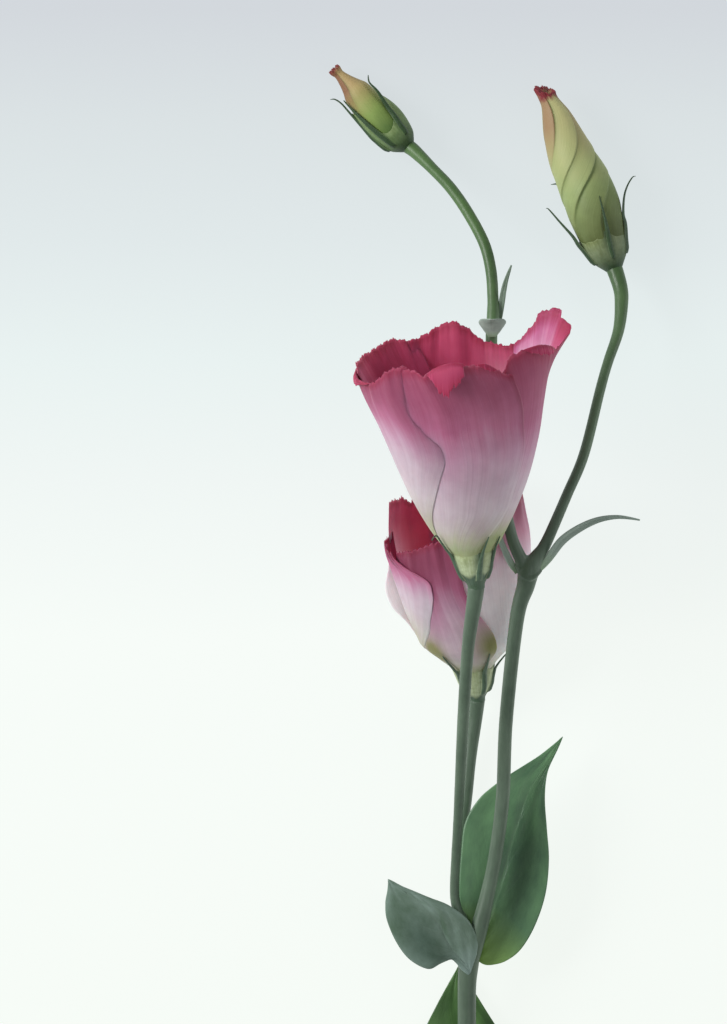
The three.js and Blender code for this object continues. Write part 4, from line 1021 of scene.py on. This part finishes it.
def makeBud(node, bud, material, name):
    # a closed bud: five petal margins wind round it as low steps, each as strong at even steps of
    # height as its "lines" say, and the tips stand up as a frill
    place = axisFrame(bud)
    turn = circle(240)[None, :]
    height, radius = profileLine(bud["profile"], np.linspace(0, 1, 170)[:, None])
    start, top = bud["profile"][0][0], max(h for h, r in bud["profile"])
    climb, frill = ramp(height, start, top), ramp(height, bud["frill"], top)
    share = turn / (2 * np.pi) * 5
    petal, lobe = share.astype(int), share % 1
    lines = np.stack([smoothValues(line, climb[:, 0]) for line in bud["lines"]], axis=1)
    here, ahead = lines[:, petal[0]], lines[:, (petal[0] + 1) % 5]
    fold = 0.5 * ahead * np.exp((lobe - 1) / 0.3) - 0.5 * here * np.exp(-lobe / 0.25)
    # the line is a painted shade that lies under each margin's step
    line = here * np.exp(-lobe / 0.13) + 0.5 * ahead * ramp(lobe, 0.93, 1)
    for _ in range(3):
        fold, line = eased(fold), eased(line)
    relief = bud["step"] * np.minimum(1, radius / 3) * (1 - frill)
    ragged = bud["ragged"] * frill
    radius = radius + relief * fold + 0.6 * ragged * ripple(turn / np.pi, bud["seed"], (6, 14, 22), 0.7)
    azimuth = turn + np.radians(smoothValues(bud["turns"], climb))
    high = height + ragged * ripple(turn / np.pi, bud["seed"] + 1, (6, 12, 26), 0.7)
    high = high - bud["slant"][0] * frill * np.cos(azimuth - np.radians(bud["slant"][1]))
    bow = place(0, 1, np.pi / 2) - place(0, 0, 0)
    grid = place(high, radius, azimuth) + bow * smoothValues(bud["side"], climb)[..., None]
    brown = np.array(bud["brown"])[petal] * ramp(climb, *bud["brownFrom"])
    flush = np.maximum(brown, 0.7 * ramp(lobe, 0.75, 1) * ahead * ramp(climb, 0.6, 0.85))
    # under holds the painted shade: the line under each step, and the shaded petals' lower parts
    under = np.maximum(line, np.array(bud["shaded"])[petal] * (1 - ramp(climb, 0.38, 0.62)))
    past = (np.arange(len(height))[:, None] > np.argmax(height)) & (radius < 1)
    along = np.where(past, bud["floor"], climb)
    makePiece(node, [ringShell(grid, along=along, flush=flush, under=under)], material, name)


# Leaves: three lines from the base to the tip, the midrib with its heights and the two edges in plan

leafThickness = 0.45
leaves = {
    "right_leaf": {
        "middle": [(2.9, 62.3, 9.9), (4.9, 69.5, 10.3), (7.2, 76.3, 10.8), (9.7, 84.8, 11.3),
                   (11.9, 93.1, 11.6), (15.9, 104.7, 11.1), (21.2, 112.5, 9.6), (24.2, 118, 8)],
        "left": [(2.6, 61.7), (0.4, 65.7), (-1.1, 70.8), (-1.8, 79.5), (-1.4, 88.1), (-0.4, 96.4), (3, 102.3),
                 (7.4, 106.2), (11.3, 108.9), (17.7, 112.9), (21, 115.4), (24.2, 118)],
        "right": [(2.9, 61.7), (4.4, 60.8), (6.4, 60.7), (9.9, 61.7), (13.7, 64.7), (17.2, 70.6),
                  (19.8, 78.4), (20.7, 87.1), (20.2, 94.9), (19.7, 102.8), (20.4, 109.3), (22.4, 114),
                  (24.2, 118)],
        "cup": 0.6, "wave": 0.2, "skin": "leafSkin", "shades": [(0.35, 0.6, 0.3, 0.28, 0.9)],
    },
    "left_leaf": {
        "middle": [(0.7, 58.2, 14.1), (0.4, 60.2, 14.9), (-2.9, 63.9, 17), (-4.7, 66.7, 18.3),
                   (-6.7, 70.7, 19.6), (-9.2, 74.3, 20.6), (-13.5, 78, 21.2), (-19.7, 82.5, 21.8)],
        "left": [(0.6, 58.2), (-1.4, 59.7), (-2.7, 61.4), (-4.3, 62.4), (-6.7, 61.2), (-9.7, 59.9),
                 (-14.2, 62.2), (-17.5, 66.4), (-20, 72.2), (-20.4, 76.5), (-19.9, 79.7), (-19.7, 82.5)],
        "right": [(0.6, 58.2), (2.1, 62.2), (2.7, 64.7), (2.7, 67), (1.8, 69.7), (-0.2, 72.8), (-4.7, 76),
                  (-9.2, 77.8), (-13.5, 79.6), (-16.7, 80.9), (-19.7, 82.5)],
        "cup": -1.6, "wave": 0, "skin": "leafUnderside", "shades": [(-0.5, 0.42, 0.45, 0.3, 0.9)],
    },
    "lower_leaf": {
        "middle": [(0, 10, 0.85), (-0.4, 22, 1.1), (-1, 34, 1.6), (-1.6, 46, 2.2), (-2, 60.2, 2.6)],
        "left": [(-1.2, 10), (-6, 15.8), (-11, 24), (-13.2, 33.2), (-11.6, 41.5), (-7.4, 50.5), (-2, 60.2)],
        "right": [(1.2, 10), (5.8, 15.8), (10.6, 24), (11.8, 33), (9.4, 41.5), (4.4, 50), (-2, 60.2)],
        "cup": 1.2, "wave": 0.2, "skin": "lowerLeafSkin",
    },
}

# Bracts: the midrib, and half widths from its base to its tip
bracts = {
    "right_bract": {
        "middle": [(17.6, 159.2, 35.4), (20.2, 162.8, 35.6), (24.2, 168, 37), (30.8, 172, 38.4),
                   (37, 173.3, 38.6), (43.1, 172.5, 37.8)],
        "half": [0.4, 1, 1.25, 1.3, 1.25, 1.15, 1, 0.8, 0.6, 0.4, 0.2], "cup": 0.3, "turn": 35,
    },
    "left_bract": {
        "middle": [(12.4, 159.2, 34.6), (10, 163.6, 36.6), (8, 168.5, 38), (6.2, 176, 38.9)],
        "half": [0.4, 0.75, 0.85, 0.8, 0.75, 0.7, 0.65, 0.6, 0.5, 0.4, 0.3], "cup": 0.2,
    },
    "bud_bract_long": {
        "middle": [(8.1, 221.8, 28.5), (8.7, 227, 29.2), (9.6, 231.8, 30), (11.1, 236.2, 30.6)],
        "half": [0.5, 0.6, 0.7, 0.75, 0.75, 0.7, 0.65, 0.55, 0.45, 0.35, 0.2], "cup": 0.2,
        "skin": "greenBractSkin",
    },
    "bud_bract_small": {
        "middle": [(6.3, 218.2, 33.4), (6.3, 220, 33.8), (6.3, 221.7, 35.4), (6.3, 222.6, 37.6)],
        "half": [0.9, 1.4, 2, 2.6, 3.1, 3.4, 3.3, 2.9, 2.3, 1.5, 0.5], "cup": -1,
    },
}


def makeLeaf(node, leaf, material):
    # the blade runs from the midrib to each edge; cup lifts the edges, wave ripples them, the rib is a groove
    rows, columns = 90, 24
    middle, left, right = (routeLine(leaf[line], rows + 1)[0] for line in ("middle", "left", "right"))
    u = np.linspace(0, 1, rows + 1)[:, None]
    halves = []
    for sign, edge in ((-1, left), (1, right)):
        v = np.linspace(0, 1, columns + 1)[None, :]
        v = v[:, ::-1] if sign < 0 else v[:, 1:]
        across = (edge - middle)[:, None, :2] * v[..., None]
        width = np.linalg.norm(across, axis=2)
        rise = leaf["cup"] * v ** 2 * np.sin(np.pi * u) + sign * leaf["wave"] * v * np.sin(5 * np.pi * u)
        rise = rise - 0.25 * bump(width, 0, 0.7) * (1 - u) + 0.08 * np.sin(26 * (u - 0.55 * v)) * (1 - v ** 2)
        rise = middle[:, None, 2] + rise
        halves.append(np.concatenate([middle[:, None, :2] + across, rise[..., None]], axis=2))
    grid = np.concatenate(halves, axis=1)
    v = np.linspace(-1, 1, 2 * columns + 1)[None, :]
    shell = bladeShell(grid, leafThickness, shade=patches(leaf, "shades", u, v))
    makePiece(node, [shell], material)


def makeBract(node, bract, material):
    # a small blade of the given half widths, turned about its midrib; cup lifts its margins
    rows, columns = 60, 20
    centre, heading, _ = routeLine(bract["middle"], rows + 1)
    side = np.stack([heading[:, 1], -heading[:, 0], heading[:, 0] * 0], -1)
    side /= np.linalg.norm(side, axis=1, keepdims=True)
    turn = np.radians(bract.get("turn", 0))
    side = side * np.cos(turn) + np.cross(heading, side) * np.sin(turn)
    lift = np.cross(side, heading)
    u = np.linspace(0, 1, rows + 1)[:, None]
    v = np.linspace(-1, 1, columns + 1)[None, :]
    across = v * smoothValues(bract["half"], u)
    rise = bract["cup"] * v ** 2 * np.sin(np.pi * u)
    grid = centre[:, None] + across[..., None] * side[:, None] + rise[..., None] * lift[:, None]
    makePiece(node, [bladeShell(grid, leafThickness)], material)


# The flower

# a seed, then the dark and the light green, the base's and the veins'
leafTones = {
    "leafSkin": (2, (74, 107, 80), (109, 151, 107), (146, 184, 96), (120, 158, 118)),
    "lowerLeafSkin": (2, (60, 91, 50), (89, 128, 69), (100, 138, 62), (100, 136, 82)),
    "leafUnderside": (5, (92, 116, 96), (136, 158, 146), (146, 168, 160), (134, 156, 140)),
    "bractSkin": (8, (140, 158, 146), (168, 184, 172), (148, 174, 140), (174, 190, 174)),
    "greenBractSkin": (8, (98, 118, 98), (128, 148, 130), (104, 132, 100), (134, 152, 134)),
}
leafSkins = {name: leafFinish(name, *tones) for name, tones in leafTones.items()}
petalSkin = petalFinish("petalSkin", 1)
antherSkin = grainFinish("antherSkin", (206, 176, 60), (232, 208, 96), 2400)
pistilSkin = grainFinish("pistilSkin", (150, 168, 72), (192, 198, 104), 1400)
calyxSkin = calyxFinish("calyxSkin", (82, 106, 86), (190, 202, 164), (178, 188, 144))

makeStems(stemFinish())
for node, leaf in leaves.items():
    makeLeaf(node, leaf, leafSkins[leaf["skin"]])
for node, bract in bracts.items():
    makeBract(node, bract, leafSkins[bract.get("skin", "bractSkin")])
print("stems and leaves done")
for name, bloom in (("front", frontBloom), ("back", backBloom)):
    makeCorolla(name, bloom, petalSkin, antherSkin)
    makeCalyx(name + "_calyx", bloom, 0.75, calyxSkin)
    makePistil(name + "_pistil", bloom, pistilSkin)
print("blooms done")
for name, bud in (("right", rightBud), ("top", topBud)):
    budSkin = budFinish(name + "BudSkin", *bud["tones"])
    budCalyxSkin = calyxFinish(name + "BudCalyxSkin", *bud["calyxTones"])
    makeBud(name + "_bud_corolla", bud, budSkin, name + "Bud")
    makeCalyx(name + "_bud_calyx", bud, 0.55 * bud["step"] + 0.32, budCalyxSkin)
print("buds done")


# Surface, light and camera

studio = {
    "photoWidth": 727,
    "photoHeight": 1024,
    "pixel": 0.25,
    "stemPixel": 467,
    "cutPixel": 1210,
    "distance": 4000,
    "level": 30,
    "surfaceFrom": 50,
    "surfaceTo": 301,
    "surfaceHalf": 6,
    "glow": 0.93,
    "aim": (0, 0.03, 0.03),
    "roomTone": (0.95, 0.98, 1, 1),
    "roomLight": 0.3,
}


def makeSurface():
    # a pale board lit from below, a little greyer towards the far end
    recipe = Recipe("paleSurface")
    start, end = (studio[key] * mm + cutCentre[1] for key in ("surfaceFrom", "surfaceTo"))
    tone = recipe.gradient(recipe.mapped(recipe.flat(recipe.spot())[1], start, end), [
        (0, (245, 250, 245)), (0.37, (245, 250, 246)), (0.53, (238, 244, 242)), (0.65, (231, 240, 239)),
        (0.77, (223, 231, 232)), (0.89, (217, 224, 226)), (1, (209, 214, 219)),
    ])
    material = recipe.shader({
        "Base Color": recipe.mix(1, tone, grey(0.1), "MULTIPLY"), "Roughness": 0.9, "Specular IOR Level": 0,
        "Emission Color": tone, "Emission Strength": studio["glow"],
    })
    half = studio["surfaceHalf"]
    mesh = bpy.data.meshes.new("paleSurface")
    corners = [(-half, -half, 0), (half, -half, 0), (half, half, 0), (-half, half, 0)]
    mesh.from_pydata(corners, [], [(0, 1, 2, 3)])
    mesh.materials.append(material)
    surface = bpy.data.objects.new("paleSurface", mesh)
    bpy.context.scene.collection.objects.link(surface)


def makeLamp(name, place, size, power):
    # a round soft lamp that faces the stem
    data = bpy.data.lights.new(name, "AREA")
    data.shape = "DISK"
    data.size = size
    data.energy = power
    lamp = bpy.data.objects.new(name, data)
    lamp.location = place
    away = Vector(np.array(studio["aim"]) - np.array(place))
    lamp.rotation_euler = away.to_track_quat("-Z", "Y").to_euler()
    bpy.context.scene.collection.objects.link(lamp)


def makeCamera():
    # straight above the middle of the photographed field, far off, so that sizes hold at every height
    data = bpy.data.cameras.new("camera")
    tall = studio["photoHeight"] * studio["pixel"]
    data.lens = data.sensor_width * studio["distance"] / tall
    data.clip_end = 100
    camera = bpy.data.objects.new("camera", data)
    x = (studio["photoWidth"] / 2 - studio["stemPixel"]) * studio["pixel"]
    y = (studio["cutPixel"] - studio["photoHeight"] / 2) * studio["pixel"]
    camera.location = np.array([x, y, studio["level"] + studio["distance"]]) * mm + cutCentre
    bpy.context.scene.collection.objects.link(camera)
    bpy.context.scene.camera = camera


makeSurface()
makeLamp("key", (-1.3, 0.45, 0.95), 0.9, 24)
makeLamp("fill", (0.8, -0.3, 1.5), 1.2, 3)
makeLamp("edge", (1.5, 0.3, 0.25), 0.5, 3)
makeCamera()
world = bpy.data.worlds.new("softRoom")
world.use_nodes = True
room = world.node_tree.nodes["Background"]
room.inputs["Color"].default_value = studio["roomTone"]
room.inputs["Strength"].default_value = studio["roomLight"]
bpy.context.scene.world = world
bpy.context.scene.view_settings.view_transform = "Standard"
